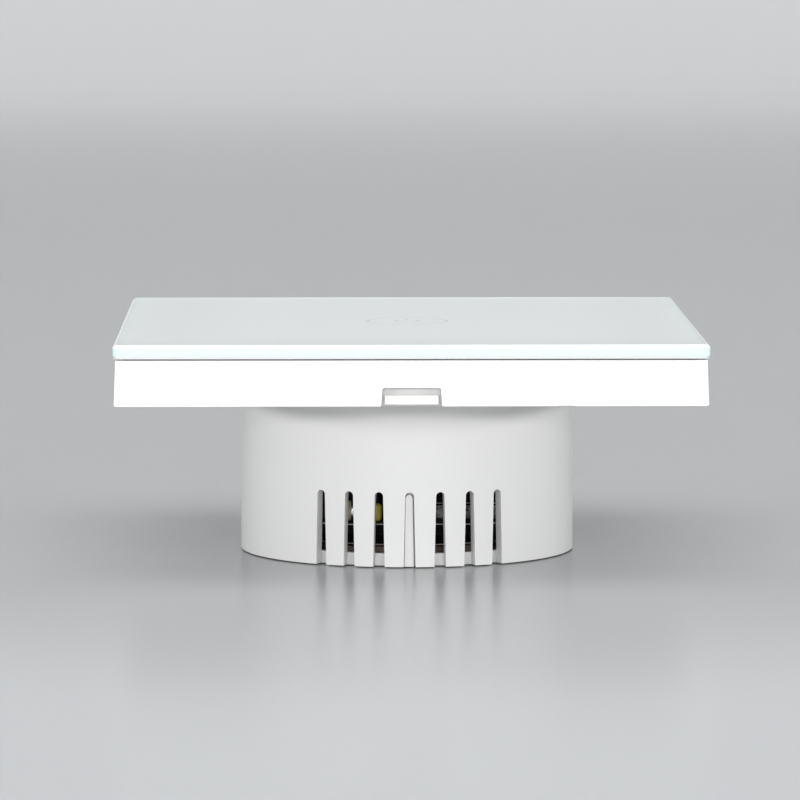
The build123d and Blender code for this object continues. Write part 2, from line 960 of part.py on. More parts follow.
def make_clamp_cage(x):
    """A folded steel loop: the wire and the bar pass up through it, the screw through its thick wall."""
    length = cage_wall + (bar_y - cage_front - cage_wall) + bar_thick + fit_gap + cage_thread_wall
    half = chamber_width / 2 - fit_gap
    outer = Rectangle(2 * half, length)
    outer = chamfer(outer.vertices(), cage_wall / 2)
    room_length = length - cage_wall - cage_thread_wall
    room = Pos(0, (cage_wall - cage_thread_wall) / 2) * Rectangle(2 * (half - cage_wall), room_length)
    place = Pos(x, cage_front + length / 2, cage_bottom)
    loop = extrude(place * (outer - room), cage_height)
    hole = rod_along_y(terminal_screw_radius + slide_gap, bar_y, chamber_rear, x, terminal_axis_z)
    return loop - hole


# Relay: case over a base, with coil, core, yoke and a hinged armature
relay_z = power_board_top
relay_floor = relay_z + relay_foot_gap + relay_base_thick
yoke_left = relay_x - relay_length / 2 + yoke_inset
coil_x = yoke_left + yoke_thick + fit_gap + bobbin_radius
pole_top = relay_floor + yoke_thick + core_height + pole_thick
hinge_x = yoke_left + yoke_thick / 2
hinge_z = pole_top - yoke_thick / 2
leaf_z = pole_top + armature_thick


def relay_box(inset, z_low, z_high):
    """A box with the relay's plan, drawn in by an inset."""
    half_length = relay_length / 2 - inset
    half_width = relay_width / 2 - inset
    return block(
        relay_x - half_length,
        relay_x + half_length,
        relay_y - half_width,
        relay_y + half_width,
        z_low,
        z_high,
    )


def make_relay_case():
    top = relay_z + relay_height
    case = relay_box(0, relay_z, top)
    case = chamfer(
        case.edges().filter_by(Axis.Z) + case.faces().sort_by(Axis.Z)[-1].edges(),
        relay_wall / 2,
    )
    return case - relay_box(relay_wall, relay_z - overrun, top - relay_wall)


def make_relay_base():
    base = relay_box(relay_wall + slide_gap, relay_z + relay_foot_gap, relay_floor)
    return chamfer(base.edges().filter_by(Axis.Z), relay_wall / 2)


def make_relay_yoke():
    """The yoke's foot and back, with the core riveted through the foot. The armature rocks on the
    back's round top edge."""
    yoke_half = yoke_width / 2
    foot_end = coil_x + bobbin_radius
    outline = Polyline(
        (yoke_left, relay_floor),
        (foot_end, relay_floor),
        (foot_end, relay_floor + yoke_thick),
        (yoke_left + yoke_thick, relay_floor + yoke_thick),
        (yoke_left + yoke_thick, hinge_z),
        (yoke_left, hinge_z),
        close=True,
    )
    middle = Plane(origin=(0, relay_y, 0), x_dir=(1, 0, 0), z_dir=(0, -1, 0))
    yoke = extrude(middle * make_face(outline), yoke_half, both=True)
    yoke += rod_along_y(yoke_thick / 2, relay_y - yoke_half, relay_y + yoke_half, hinge_x, hinge_z)
    core = rod(core_radius, relay_floor + yoke_thick / 2, pole_top, coil_x, relay_y)
    pole = rod(pole_radius, pole_top - pole_thick, pole_top, coil_x, relay_y)
    return yoke + core + pole


def make_relay_bobbin():
    low = relay_floor + yoke_thick
    high = pole_top - pole_thick
    tube = rod(core_radius + slide_gap + bobbin_wall, low, high, coil_x, relay_y)
    for level in (low, high - bobbin_flange):
        tube += block(
            coil_x - bobbin_radius,
            coil_x + bobbin_radius,
            relay_y - bobbin_radius,
            relay_y + bobbin_radius,
            level,
            level + bobbin_flange,
        )
    spool = tube
    return spool - rod(core_radius + slide_gap, low - overrun, high + overrun, coil_x, relay_y)


def make_relay_coil():
    low = relay_floor + yoke_thick + bobbin_flange
    high = pole_top - pole_thick - bobbin_flange
    outer = rod(coil_radius, low, high, coil_x, relay_y)
    return outer - rod(
        core_radius + slide_gap + bobbin_wall,
        low - overrun,
        high + overrun,
        coil_x,
        relay_y,
    )


def opened(shape):
    """Swing a piece of the armature from the closed to the open, resting position."""
    hinge = Axis((hinge_x, relay_y, hinge_z), (0, 1, 0))
    return shape.rotate(hinge, -armature_angle)


def make_relay_armature():
    plate = block(
        yoke_left,
        yoke_left + armature_reach,
        relay_y - yoke_width / 2,
        relay_y + yoke_width / 2,
        pole_top + slide_gap,
        leaf_z,
    )
    return opened(chamfer(plate.edges().filter_by(Axis.Z), yoke_thick))


contact_x = yoke_left + leaf_reach - contact_radius


def make_contact_leaf():
    strip_low = leaf_z
    leaf = block(
        yoke_left + yoke_thick,
        yoke_left + leaf_reach,
        relay_y - leaf_width / 2,
        relay_y + leaf_width / 2,
        strip_low,
        strip_low + leaf_thick,
    )
    button = rod(
        contact_radius,
        strip_low - contact_height,
        strip_low + leaf_thick + contact_height,
        contact_x,
        relay_y,
    )
    return opened(leaf + button)


def make_fixed_contacts():
    """Two folded strips up from the base: the working contact below the leaf, the resting one above."""
    pieces = []
    half = leaf_width / 2
    reach = contact_x - hinge_x
    lift = reach * sin(radians(armature_angle))
    rear_wall = relay_x + relay_length / 2 - relay_wall - fit_gap
    low_face = leaf_z - contact_height - contact_clear
    high_face = leaf_z + leaf_thick + contact_height + lift + contact_clear + 2 * slide_gap

    # The working contact stands under the moving button
    low_strip = block(
        contact_x - contact_strip,
        contact_x + contact_strip,
        relay_y - half,
        relay_y + half,
        relay_floor,
        low_face - contact_height,
    )
    low_button = rod(contact_radius, low_face - contact_height, low_face, contact_x, relay_y)
    pieces.append(low_strip + low_button)

    # The resting contact reaches over it from the end wall
    upright = block(
        rear_wall - contact_strip,
        rear_wall,
        relay_y - half,
        relay_y + half,
        relay_floor,
        high_face + contact_height + contact_strip,
    )
    shelf = block(
        contact_x - contact_radius,
        rear_wall,
        relay_y - half,
        relay_y + half,
        high_face + contact_height,
        high_face + contact_height + contact_strip,
    )
    high_button = rod(
        contact_radius,
        high_face,
        high_face + contact_height + contact_strip / 2,
        contact_x,
        relay_y,
    )
    pieces.append(upright + shelf + high_button)
    return pieces


# Parts that stand on the power board
def make_film_capacitor():
    low = power_board_top
    body = block(
        film_cap_x - film_cap_length / 2,
        film_cap_x + film_cap_length / 2,
        film_cap_y - film_cap_width / 2,
        film_cap_y + film_cap_width / 2,
        low,
        low + film_cap_height,
    )
    return chamfer(body.edges().filter_by(Axis.Z), film_cap_corner)


def make_dipped_capacitor():
    """A small lacquered block between the fuse and the varistor, seen through the third slot."""
    low = power_board_top
    body = block(
        dipped_x - dipped_width / 2,
        dipped_x + dipped_width / 2,
        dipped_y - dipped_thick / 2,
        dipped_y + dipped_thick / 2,
        low,
        low + dipped_height,
    )
    return chamfer(body.edges().filter_by(Axis.Z), dipped_corner)


def make_electrolytic():
    """A turned can in its sleeve, with a chamfered top rim."""
    low = power_board_top
    high = low + lytic_height
    profile = Polyline(
        (0, low),
        (lytic_radius, low),
        (lytic_radius, high - lytic_rim),
        (lytic_radius - lytic_rim, high),
        (0, high),
        close=True,
    )
    return Pos(lytic_x, lytic_y, 0) * revolve(Plane.XZ * make_face(profile), Axis.Z)


def make_transformer():
    """An E-shaped ferrite core that closes round a flanged bobbin with its taped winding."""
    low = power_board_top
    flange_top = low + transformer_height
    window_low = low + transformer_flange + core_limb
    window_high = flange_top - transformer_flange - core_limb
    half_length = core_length / 2
    half_width = core_width / 2
    limb_half = core_limb / 2
    outer = block(
        -half_length,
        half_length,
        -limb_half,
        limb_half,
        low + transformer_flange,
        flange_top - transformer_flange,
    )
    window = block(
        -half_length + core_limb / 2,
        half_length - core_limb / 2,
        -core_width,
        core_width,
        window_low,
        window_high,
    )
    middle = block(
        -limb_half,
        limb_half,
        -limb_half,
        limb_half,
        window_low - overrun,
        window_high + overrun,
    )
    ferrite = outer - window + middle
    tube_gap = slide_gap
    winding_half = half_length - core_limb / 2 - tube_gap
    spool = block(
        -winding_half,
        winding_half,
        -half_width,
        half_width,
        window_low + tube_gap,
        window_high - tube_gap,
    )
    spool = fillet(spool.edges().filter_by(Axis.Z), half_width / 2)
    spool -= block(
        -limb_half - tube_gap,
        limb_half + tube_gap,
        -limb_half - tube_gap,
        limb_half + tube_gap,
        low,
        flange_top,
    )
    foot = block(
        -half_length,
        half_length,
        -half_width,
        half_width,
        low,
        low + transformer_flange - tube_gap,
    )
    for side in (-1, 1):
        foot += block(
            -winding_half,
            winding_half,
            side * half_width * foot_rib_share - transformer_flange / 2,
            side * half_width * foot_rib_share + transformer_flange / 2,
            low,
            window_low + core_limb,
        )
    place = Pos(transformer_x, transformer_y, 0)
    return place * ferrite, place * (spool + foot)


def make_varistor():
    """A lacquered disc standing on its edge."""
    z = power_board_top + varistor_radius
    return rod_along_y(
        varistor_radius,
        varistor_y - varistor_thick / 2,
        varistor_y + varistor_thick / 2,
        0,
        z,
    )


def make_fuse():
    """A ceramic tube resistor lying along X, with a pressed cap on each end."""
    z = power_board_top + fuse_cap_radius
    half = fuse_length / 2
    profile = Polyline(
        (0, -half),
        (fuse_cap_radius, -half),
        (fuse_cap_radius, -half + fuse_cap_length),
        (fuse_radius, -half + fuse_cap_length),
        (fuse_radius, half - fuse_cap_length),
        (fuse_cap_radius, half - fuse_cap_length),
        (fuse_cap_radius, half),
        (0, half),
        close=True,
    )
    return Pos(fuse_x, fuse_y, z) * Rot(Y=quarter_turn) * revolve(Plane.XZ * make_face(profile), Axis.Z)


def board_chip(x, y, length, width, height):
    """A moulded chip under the power board."""
    body = block(
        x - length / 2,
        x + length / 2,
        y - width / 2,
        y + width / 2,
        power_board_z - height,
        power_board_z,
    )
    return chamfer(body.faces().sort_by(Axis.Z)[0].edges(), height * chip_edge_share)


def make_housing_screw(x, y):
    """A countersunk screw from the front through the plate into the housing's boss."""
    head_z = plate_top - housing_screw_head_height
    tip = wall_z - housing_screw_length + fit_gap
    shank = rod(housing_screw_radius, tip, head_z, x, y)
    head = Pos(x, y, (head_z + plate_top) / 2) * Cone(
        housing_screw_radius,
        housing_screw_head_radius,
        housing_screw_head_height,
    )
    return shank + head


def make_board_screw(x, y):
    shank = rod(small_screw_radius, board_top - small_screw_length, board_top, x, y)
    return shank + rod(small_screw_head_radius, board_top, board_top + small_screw_head_height, x, y)


def make_cover_screw(x):
    """A screw driven from behind through the cover's post into the housing's boss."""
    seat = cover_floor + fit_gap
    tip = power_board_top + cover_screw_length - fit_gap
    shank = rod(small_screw_radius, seat, tip, x, 0)
    return shank + rod(small_screw_head_radius, seat - small_screw_head_height, seat, x, 0)


# Build and write every piece
write("glass_panel", make_glass())
write("glass_tape", make_tape())
write("front_frame", make_front_frame())
write("light_guide", make_light_guide())
write("mounting_plate", make_mounting_plate())
write("clip_springs", make_clip_springs())
write("touch_board", make_touch_board())
write("touch_spring", make_touch_spring())
write("touch_chip", make_touch_chip())
write("indicator_lamps", make_lamps())
write("board_socket", make_board_socket())
write("header_strips", make_header_strips())
write("header_pins", make_header_pins())
write("round_housing", make_housing())
write("back_cover", make_back_cover())
write("power_board", make_power_board())
write("terminal_block", make_terminal_block())
write("contact_bars", make_contact_bars())
for number, place in enumerate(terminal_places(), start=1):
    write(f"terminal_screw_{number}", make_terminal_screw(place))
    write(f"clamp_cage_{number}", make_clamp_cage(place))
write("relay_case", make_relay_case())
write("relay_base", make_relay_base())
write("relay_yoke", make_relay_yoke())
write("relay_bobbin", make_relay_bobbin())
write("relay_coil", make_relay_coil())
write("relay_armature", make_relay_armature())
write("contact_leaf", make_contact_leaf())
write("fixed_contacts", make_fixed_contacts())
write("film_capacitor", make_film_capacitor())
write("dipped_capacitor", make_dipped_capacitor())
write("electrolytic_capacitor", make_electrolytic())
ferrite_core, wound_bobbin = make_transformer()
write("transformer_core", ferrite_core)
write("transformer_bobbin", wound_bobbin)
write("varistor", make_varistor())
write("fuse_resistor", make_fuse())
write(
    "bridge_rectifier",
    board_chip(transformer_x, transformer_y, rectifier_length, rectifier_width, rectifier_height),
)
write(
    "supply_chip",
    board_chip(relay_x, relay_y, supply_chip_length, supply_chip_width, supply_chip_height),
)
write("housing_screws", [make_housing_screw(x, y) for x, y in housing_screw_places()])
write("board_screws", [make_board_screw(x, y) for x, y in board_screw_places()])
write("cover_screws", [make_cover_screw(x) for x in (-boss_ring_radius, boss_ring_radius)])
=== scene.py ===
import math

import bmesh
import bpy
import numpy as np
from mathutils import Matrix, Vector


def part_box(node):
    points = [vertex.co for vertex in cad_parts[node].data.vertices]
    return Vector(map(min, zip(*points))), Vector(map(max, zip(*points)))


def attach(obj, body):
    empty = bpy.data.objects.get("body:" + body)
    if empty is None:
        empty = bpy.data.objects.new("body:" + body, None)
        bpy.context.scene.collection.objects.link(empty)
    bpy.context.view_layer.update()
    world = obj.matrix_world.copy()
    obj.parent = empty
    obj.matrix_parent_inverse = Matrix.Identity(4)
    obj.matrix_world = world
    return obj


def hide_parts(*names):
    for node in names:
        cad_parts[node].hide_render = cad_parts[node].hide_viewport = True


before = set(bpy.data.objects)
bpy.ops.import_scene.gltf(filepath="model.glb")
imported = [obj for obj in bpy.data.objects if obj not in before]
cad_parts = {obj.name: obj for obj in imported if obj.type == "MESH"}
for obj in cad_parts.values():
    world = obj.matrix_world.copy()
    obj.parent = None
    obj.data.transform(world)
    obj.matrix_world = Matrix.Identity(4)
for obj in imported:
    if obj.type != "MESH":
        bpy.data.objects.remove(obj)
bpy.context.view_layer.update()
mm = 0.001

# The studio: a pale seamless floor that turns up behind the switch, low softboxes in front, at the
# sides and near the floor, a broad one overhead and two over the far floor. The floor lies a fifth
# of a millimetre under the body, so that a thin dark line shows where the body stands.
studio_grey = (0.395, 0.401, 0.407)
# Painted light: the floor's colour is made up to this many times brighter towards the camera, a pool of
# light painted on the floor in front of the switch.
painted_front_light = 1.4
painted_front_light_from = -0.036
painted_front_light_over = 0.125
floor_mottle = 0.015
floor_mottle_scale = 3.0
floor_roughness = 0.25
floor_shine = 0.42
floor_half_width = 3.0
floor_front = -2.5
floor_turn = 1.6
floor_turn_radius = 1.0
wall_height = 2.6
turn_steps = 24
key_distance = 2.0
key_lift_angle = math.radians(10.8)
key_width = 1.3
key_height = 0.12
key_power = 6.8
side_angle = math.radians(60)
side_lift_angle = math.radians(8)
side_power = 19.5
fill_lift_angle = math.radians(1.2)
fill_height = 0.05
fill_power = 11.5
top_height = 1.3
top_setback = -0.45
top_size = 1.5
top_power = 12.0
far_height = 0.8
far_setback = 2.1
far_width = 2.6
far_depth = 0.6
far_power = 13.0
band_height = 0.5
band_setback = 1.62
band_depth = 0.3
band_power = 2.7
floor_drop = 0.18 * mm
surroundings = (0.9, 0.92, 0.95)
surroundings_strength = 0.46
camera_place = (-13.2 * mm, -807.0 * mm, 102.9 * mm)
camera_down_angle = math.radians(5.704)
camera_right_angle = math.radians(0.863)
camera_lens_mm = 240.44
camera_sensor_mm = 36.0
camera_near = 0.05
camera_far = 50.0
crease_angle = math.radians(32)


def grid_faces(rows, columns, close_rows=False, close_columns=True):
    """Quads of a grid of points. A closed way joins its last line of points to its first."""
    row = np.arange(rows if close_rows else rows - 1)[:, None]
    column = np.arange(columns if close_columns else columns - 1)[None, :]
    next_row = (row + 1) % rows * columns
    next_column = (column + 1) % columns
    row = row * columns
    corners = (row + column, row + next_column, next_row + next_column, next_row + column)
    return np.stack(corners, axis=-1).reshape(-1, 4)


def points_of(*coordinates):
    """Points from their coordinates, one array or number for each axis, spread to one shape."""
    return np.stack(np.broadcast_arrays(*coordinates), axis=-1)


def put_piece(name, mesh, material):
    """One object of a mesh, smooth except over edges past the crease."""
    mesh.materials.append(material)
    mesh.shade_smooth()
    mesh.set_sharp_from_angle(angle=crease_angle)
    piece = bpy.data.objects.new(name, mesh)
    bpy.context.scene.collection.objects.link(piece)
    return piece


def put_mesh(name, points, faces, material):
    """One object from an array of points in metres and the faces over them."""
    mesh = bpy.data.meshes.new(name)
    mesh.from_pydata(points.reshape(-1, 3).tolist(), [], faces)
    mesh.update()
    return put_piece(name, mesh, material)


def new_material(name):
    """A material with its Principled shader, ready for its own nodes."""
    material = bpy.data.materials.new(name)
    material.use_nodes = True
    shader = material.node_tree.nodes["Principled BSDF"]
    return material, material.node_tree, shader


def feed(tree, socket, value):
    """Gives a socket its value: a node's output by a link, a colour or a number as it is."""
    if isinstance(value, bpy.types.NodeSocket):
        tree.links.new(value, socket)
    else:
        socket.default_value = value + (1,) if isinstance(value, tuple) else value


def object_axes(tree):
    """The three coordinates of the shaded point, in metres."""
    place = tree.nodes.new("ShaderNodeTexCoord")
    axes = tree.nodes.new("ShaderNodeSeparateXYZ")
    tree.links.new(place.outputs["Object"], axes.inputs[0])
    return axes.outputs


def noise_on(tree, scale, detail=2.0):
    """A noise over Object coordinates, of a scale and a detail."""
    place = tree.nodes.new("ShaderNodeTexCoord")
    noise = tree.nodes.new("ShaderNodeTexNoise")
    tree.links.new(place.outputs["Object"], noise.inputs["Vector"])
    feed(tree, noise.inputs["Scale"], scale)
    feed(tree, noise.inputs["Detail"], detail)
    return noise.outputs["Fac"]


def scaled(tree, colour, factor):
    """A colour times a factor, both the outputs of nodes."""
    node = tree.nodes.new("ShaderNodeVectorMath")
    node.operation = "SCALE"
    tree.links.new(colour, node.inputs[0])
    tree.links.new(factor, node.inputs["Scale"])
    return node.outputs[0]


floor_paint, floor_tree, floor_shader = new_material("studio floor")
floor_ramp = floor_tree.nodes.new("ShaderNodeValToRGB")
for element, factor in zip(floor_ramp.color_ramp.elements, (1 - floor_mottle, 1 + floor_mottle)):
    element.color = tuple(factor * c for c in studio_grey) + (1,)
floor_tree.links.new(noise_on(floor_tree, floor_mottle_scale), floor_ramp.inputs["Fac"])
# Painted light: a smooth step along Y lifts the floor's colour in front of the switch.
floor_painted_light = floor_tree.nodes.new("ShaderNodeMapRange")
floor_painted_light.interpolation_type = "SMOOTHSTEP"
for socket_name, value in (
    ("Value", object_axes(floor_tree)[1]),
    ("From Min", painted_front_light_from - painted_front_light_over),
    ("From Max", painted_front_light_from),
    ("To Min", painted_front_light),
    ("To Max", 1.0),
):
    feed(floor_tree, floor_painted_light.inputs[socket_name], value)
floor_colour = scaled(floor_tree, floor_ramp.outputs["Color"], floor_painted_light.outputs["Result"])
floor_tree.links.new(floor_colour, floor_shader.inputs["Base Color"])
floor_shader.inputs["Roughness"].default_value = floor_roughness
floor_shader.inputs["Specular IOR Level"].default_value = floor_shine

turn = np.linspace(0, math.pi / 2, turn_steps)
sweep_y = np.concatenate(
    [[floor_front], floor_turn + floor_turn_radius * np.sin(turn), [floor_turn + floor_turn_radius]]
)
sweep_z = np.concatenate([[0], floor_turn_radius * (1 - np.cos(turn)), [wall_height]]) - floor_drop
sides = floor_half_width * np.array([-1, 1])
sweep = points_of(sides, sweep_y[:, None], sweep_z[:, None])
floor_faces = grid_faces(len(sweep_y), 2, close_columns=False).tolist()
floor = put_mesh("floor", sweep, floor_faces, floor_paint)


def softbox(name, width, height, power, distance, lift_angle, round_angle, aim_y, glossy):
    """A rectangular light that looks at a point of the floor from a distance. It stands its round
    angle to the right of straight in front and its lift angle above the floor. The camera doesn't
    see it, and a light that isn't glossy shows in no reflection."""
    lamp = bpy.data.lights.new(name, "AREA")
    lamp.shape = "RECTANGLE"
    lamp.size = width
    lamp.size_y = height
    lamp.energy = power
    lamp_object = bpy.data.objects.new(name, lamp)
    reach = distance * math.cos(lift_angle)
    lamp_object.location = (
        reach * math.sin(round_angle),
        aim_y - reach * math.cos(round_angle),
        distance * math.sin(lift_angle),
    )
    lamp_object.rotation_euler = (math.pi / 2 - lift_angle, 0, round_angle)
    lamp_object.visible_camera = False
    lamp_object.visible_glossy = glossy
    bpy.context.scene.collection.objects.link(lamp_object)


for name, height, power, lift_angle, round_angle, glossy in (
    ("front softbox", key_height, key_power, key_lift_angle, 0, True),
    ("side softbox", key_height, side_power, side_lift_angle, -side_angle, False),
    ("side softbox", key_height, side_power, side_lift_angle, side_angle, False),
    ("low fill", fill_height, fill_power, fill_lift_angle, 0, False),
):
    softbox(name, key_width, height, power, key_distance, lift_angle, round_angle, 0, glossy)
for name, width, depth, power, height, setback, glossy in (
    ("overhead softbox", top_size, top_size, top_power, top_height, top_setback, True),
    ("far softbox", far_width, far_depth, far_power, far_height, far_setback, False),
    ("far softbox", far_width, band_depth, band_power, band_height, band_setback, False),
):
    softbox(name, width, depth, power, height, math.pi / 2, 0, setback, glossy)

world = bpy.data.worlds.new("surroundings")
world.use_nodes = True
sky = world.node_tree.nodes["Background"]
sky.inputs["Color"].default_value = surroundings + (1,)
sky.inputs["Strength"].default_value = surroundings_strength
bpy.context.scene.world = world
bpy.context.scene.view_settings.view_transform = "Standard"

camera_data = bpy.data.cameras.new("camera")
camera_data.lens = camera_lens_mm
camera_data.sensor_width = camera_sensor_mm
camera_data.clip_start = camera_near
camera_data.clip_end = camera_far
camera = bpy.data.objects.new("camera", camera_data)
camera.location = camera_place
camera.rotation_euler = (math.pi / 2 - camera_down_angle, 0, -camera_right_angle)
bpy.context.scene.collection.objects.link(camera)
bpy.context.scene.camera = camera

# Glass panel: two millimetres of polished float glass with ground edges, pale blue-green
# between white arrises. Its back carries a white ceramic print, fused a little way into the glass,
# with a thin grey ring round the touch point and a plain standby sign inside it.
glass_low, glass_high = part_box("glass_panel")
glass_half = glass_high.x
glass_bottom = glass_low.z
glass_top = glass_high.z
glass_corner = 1.0 * mm
glass_arris = 0.4 * mm
glass_arris_round = 0.12 * mm
print_inset = 0.12 * mm
print_top = glass_bottom + 0.03 * mm
print_bottom = glass_bottom - 0.012 * mm
glass_tint = (0.97, 0.99, 0.985)
edge_cyan = (0.62, 0.77, 0.775)
arris_white = (0.82, 0.84, 0.84)
print_white = (0.81, 0.829, 0.826)
mark_grey = (0.5, 0.52, 0.52)
ring_radius = 6.05 * mm
ring_line = 0.4 * mm
sign_radius = 1.75 * mm
sign_line = 0.42 * mm
sign_gap_share = 0.8
sign_bar_low = 0.7 * mm
sign_bar_high = 2.5 * mm
line_blur = 0.03 * mm
polished_level = 0.97
glass_roughness = 0.02
glass_bending = 1.52
ground_roughness = 0.35
print_roughness = 0.6
least_corner = 0.05 * mm


def rounded_outline(half, corner, steps=8):
    """Points round a square, or round a rectangle where half is a pair. Each quarter of the way is
    an arc of the corner's radius about the corner's centre, and the sides lie between the arcs."""
    half_x, half_y = np.broadcast_to(half, 2)
    quarter = np.arange(4)[:, None]
    angle = quarter * math.pi / 2 + np.linspace(0, math.pi / 2, steps)[None, :]
    centre_angle = quarter * math.pi / 2 + math.pi / 4
    x = (half_x - corner) * np.sign(np.cos(centre_angle)) + corner * np.cos(angle)
    y = (half_y - corner) * np.sign(np.sin(centre_angle)) + corner * np.sin(angle)
    return points_of(x.ravel(), y.ravel())


def unit_circle(steps):
    """Points round a circle of radius one: the cosine and sine of even steps of angle."""
    angle = np.linspace(0, 2 * math.pi, steps, endpoint=False)
    return points_of(np.cos(angle), np.sin(angle))


def eased(profile, radius, steps=4, closed=False):
    """A profile with every corner eased: the corner gives way to the quadratic curve between the
    points at one radius before and after it, or at a third of the side where that is nearer, drawn
    in by the corner itself."""
    profile = np.asarray(profile, float)
    ends = []
    for shift in (1, -1):
        way = np.roll(profile, shift, axis=0) - profile
        length = np.linalg.norm(way, axis=1, keepdims=True)
        ends.append(profile + way / length * np.minimum(radius, length / 3))
    start, corner, end = np.array([ends[0], profile, ends[1]])[:, :, None]
    t = np.linspace(0, 1, steps)[:, None]
    curve = (1 - t) ** 2 * start + 2 * t * (1 - t) * corner + t**2 * end
    if closed:
        return curve.reshape(-1, 2)
    return np.concatenate([profile[:1], curve[1:-1].reshape(-1, 2), profile[-1:]])


def stack_faces(rows, columns, closed=False, first=0):
    """Faces over rings of points that start at a first index. An open stack is capped at both
    ends, and a closed one joins its last ring to its first."""
    faces = (grid_faces(rows, columns, close_rows=closed) + first).tolist()
    if not closed:
        ring = np.arange(first, first + columns)
        faces += [ring[::-1].tolist(), (ring + (rows - 1) * columns).tolist()]
    return faces


def fitted(piece, slot_name, body_name="base", node=None):
    """Gives a piece its body and, where one is named, hides the CAD node that it replaces. The slot name
    is not used.
    """
    if node:
        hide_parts(node)
    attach(piece, body_name)
    return piece


def stacked(rings, name, material, *place, closed=False):
    """A skin over rings of points from the lowest to the highest, fitted in its place."""
    rings = np.asarray(rings, float)
    piece = put_mesh(name, rings, stack_faces(*rings.shape[:2], closed), material)
    return fitted(piece, *place)


def turned_rings(profile, centre=(0, 0), steps=96):
    """Rings of a turned piece: each (radius, height) of the profile goes once round the centre."""
    radius, height = np.asarray(profile, float).T[..., None]
    x, y = unit_circle(steps).T
    return points_of(radius * x + centre[0], radius * y + centre[1], height)


def outline_rings(half, corner, profile, centre=(0, 0)):
    """Rings of a plate or a block: each (inset, height) of the profile draws the rounded outline in
    by its inset and lifts it to its height."""
    rings = []
    for inset, height in profile:
        flat = rounded_outline(np.asarray(half) - inset, max(corner - inset, least_corner))
        rings.append(points_of(*(flat + centre).T, height))
    return rings


def maths(tree, operation, *values, clamp=False):
    """One step of arithmetic in a material. Its inputs are numbers or the outputs of nodes."""
    node = tree.nodes.new("ShaderNodeMath")
    node.operation = operation
    node.use_clamp = clamp
    for socket, value in zip(node.inputs, values):
        feed(tree, socket, value)
    return node.outputs[0]


def inside(tree, distance, half_width, blur):
    """One where a distance is under a half width, zero past it, with a soft edge."""
    over = maths(tree, "SUBTRACT", half_width, distance)
    return maths(tree, "DIVIDE", over, blur, clamp=True)


def off_from(tree, coordinate, middle):
    """How far a coordinate lies from a middle value, on either side."""
    return maths(tree, "ABSOLUTE", maths(tree, "SUBTRACT", coordinate, middle))


def from_axis(tree, x, y):
    """How far a point lies from an upright axis: the root of the sum of the squares of X and Y."""
    squares = [maths(tree, "MULTIPLY", off, off) for off in (x, y)]
    return maths(tree, "SQRT", maths(tree, "ADD", *squares))


def mixed(tree, mask, first, second):
    """A colour between two, as the mask says. Each is a colour or the output of a node."""
    node = tree.nodes.new("ShaderNodeMix")
    node.data_type = "RGBA"
    for socket, value in ((node.inputs[0], mask), (node.inputs[6], first), (node.inputs[7], second)):
        feed(tree, socket, value)
    return node.outputs[2]


glass_clear, glass_tree, glass_shader = new_material("float glass")
glass_shader.inputs["Base Color"].default_value = glass_tint + (1,)
glass_shader.inputs["Roughness"].default_value = glass_roughness
glass_shader.inputs["IOR"].default_value = glass_bending
glass_shader.inputs["Transmission Weight"].default_value = 1.0
glass_ray = glass_tree.nodes.new("ShaderNodeLightPath")
glass_through = glass_tree.nodes.new("ShaderNodeBsdfTransparent")
glass_through.inputs["Color"].default_value = glass_tint + (1,)
glass_mix = glass_tree.nodes.new("ShaderNodeMixShader")
glass_out = glass_tree.nodes["Material Output"]
glass_passed = maths(
    glass_tree, "MAXIMUM", glass_ray.outputs["Is Shadow Ray"], glass_ray.outputs["Is Diffuse Ray"]
)
glass_tree.links.new(glass_passed, glass_mix.inputs["Fac"])
glass_tree.links.new(glass_shader.outputs["BSDF"], glass_mix.inputs[1])
glass_tree.links.new(glass_through.outputs["BSDF"], glass_mix.inputs[2])
glass_tree.links.new(glass_mix.outputs["Shader"], glass_out.inputs["Surface"])

glass_section = eased(
    [
        (glass_arris * 2, glass_bottom),
        (glass_arris, glass_bottom),
        (0, glass_bottom + glass_arris),
        (0, glass_top - glass_arris),
        (glass_arris, glass_top),
        (glass_arris * 2, glass_top),
    ],
    glass_arris_round,
)
ground_edge, edge_tree, edge_shader = new_material("ground glass edge")
edge_height = off_from(edge_tree, object_axes(edge_tree)[2], (glass_bottom + glass_top) / 2)
edge_mask = inside(edge_tree, edge_height, (glass_top - glass_bottom) / 2 - glass_arris, line_blur)
edge_colour = mixed(edge_tree, edge_mask, arris_white, edge_cyan)
edge_tree.links.new(edge_colour, edge_shader.inputs["Base Color"])
edge_shader.inputs["Roughness"].default_value = ground_roughness

glass_rings = outline_rings(glass_half, glass_corner, glass_section)
glass = stacked(glass_rings, "glass_plate", glass_clear, "clear_glass", "front_panel", "glass_panel")
glass.data.materials.append(ground_edge)
for face in glass.data.polygons:
    face.material_index = int(abs(face.normal.z) < polished_level)


def mark_mask(tree):
    """One on the lines of the ring and the sign, zero beside them. The sign is an arc, open at its
    top, and an upright bar."""
    across, along, _ = object_axes(tree)
    reach = from_axis(tree, across, along)
    ring = inside(tree, off_from(tree, reach, ring_radius), ring_line / 2, line_blur)
    arc = inside(tree, off_from(tree, reach, sign_radius), sign_line / 2, line_blur)
    below_gap = maths(tree, "LESS_THAN", along, maths(tree, "MULTIPLY", reach, sign_gap_share))
    bar_off = off_from(tree, along, (sign_bar_low + sign_bar_high) / 2)
    bar_length = inside(tree, bar_off, (sign_bar_high - sign_bar_low) / 2, line_blur)
    bar_width = inside(tree, off_from(tree, across, 0), sign_line / 2, line_blur)
    bar = maths(tree, "MULTIPLY", bar_width, bar_length)
    sign = maths(tree, "MAXIMUM", maths(tree, "MULTIPLY", arc, below_gap), bar)
    return maths(tree, "MAXIMUM", ring, sign)


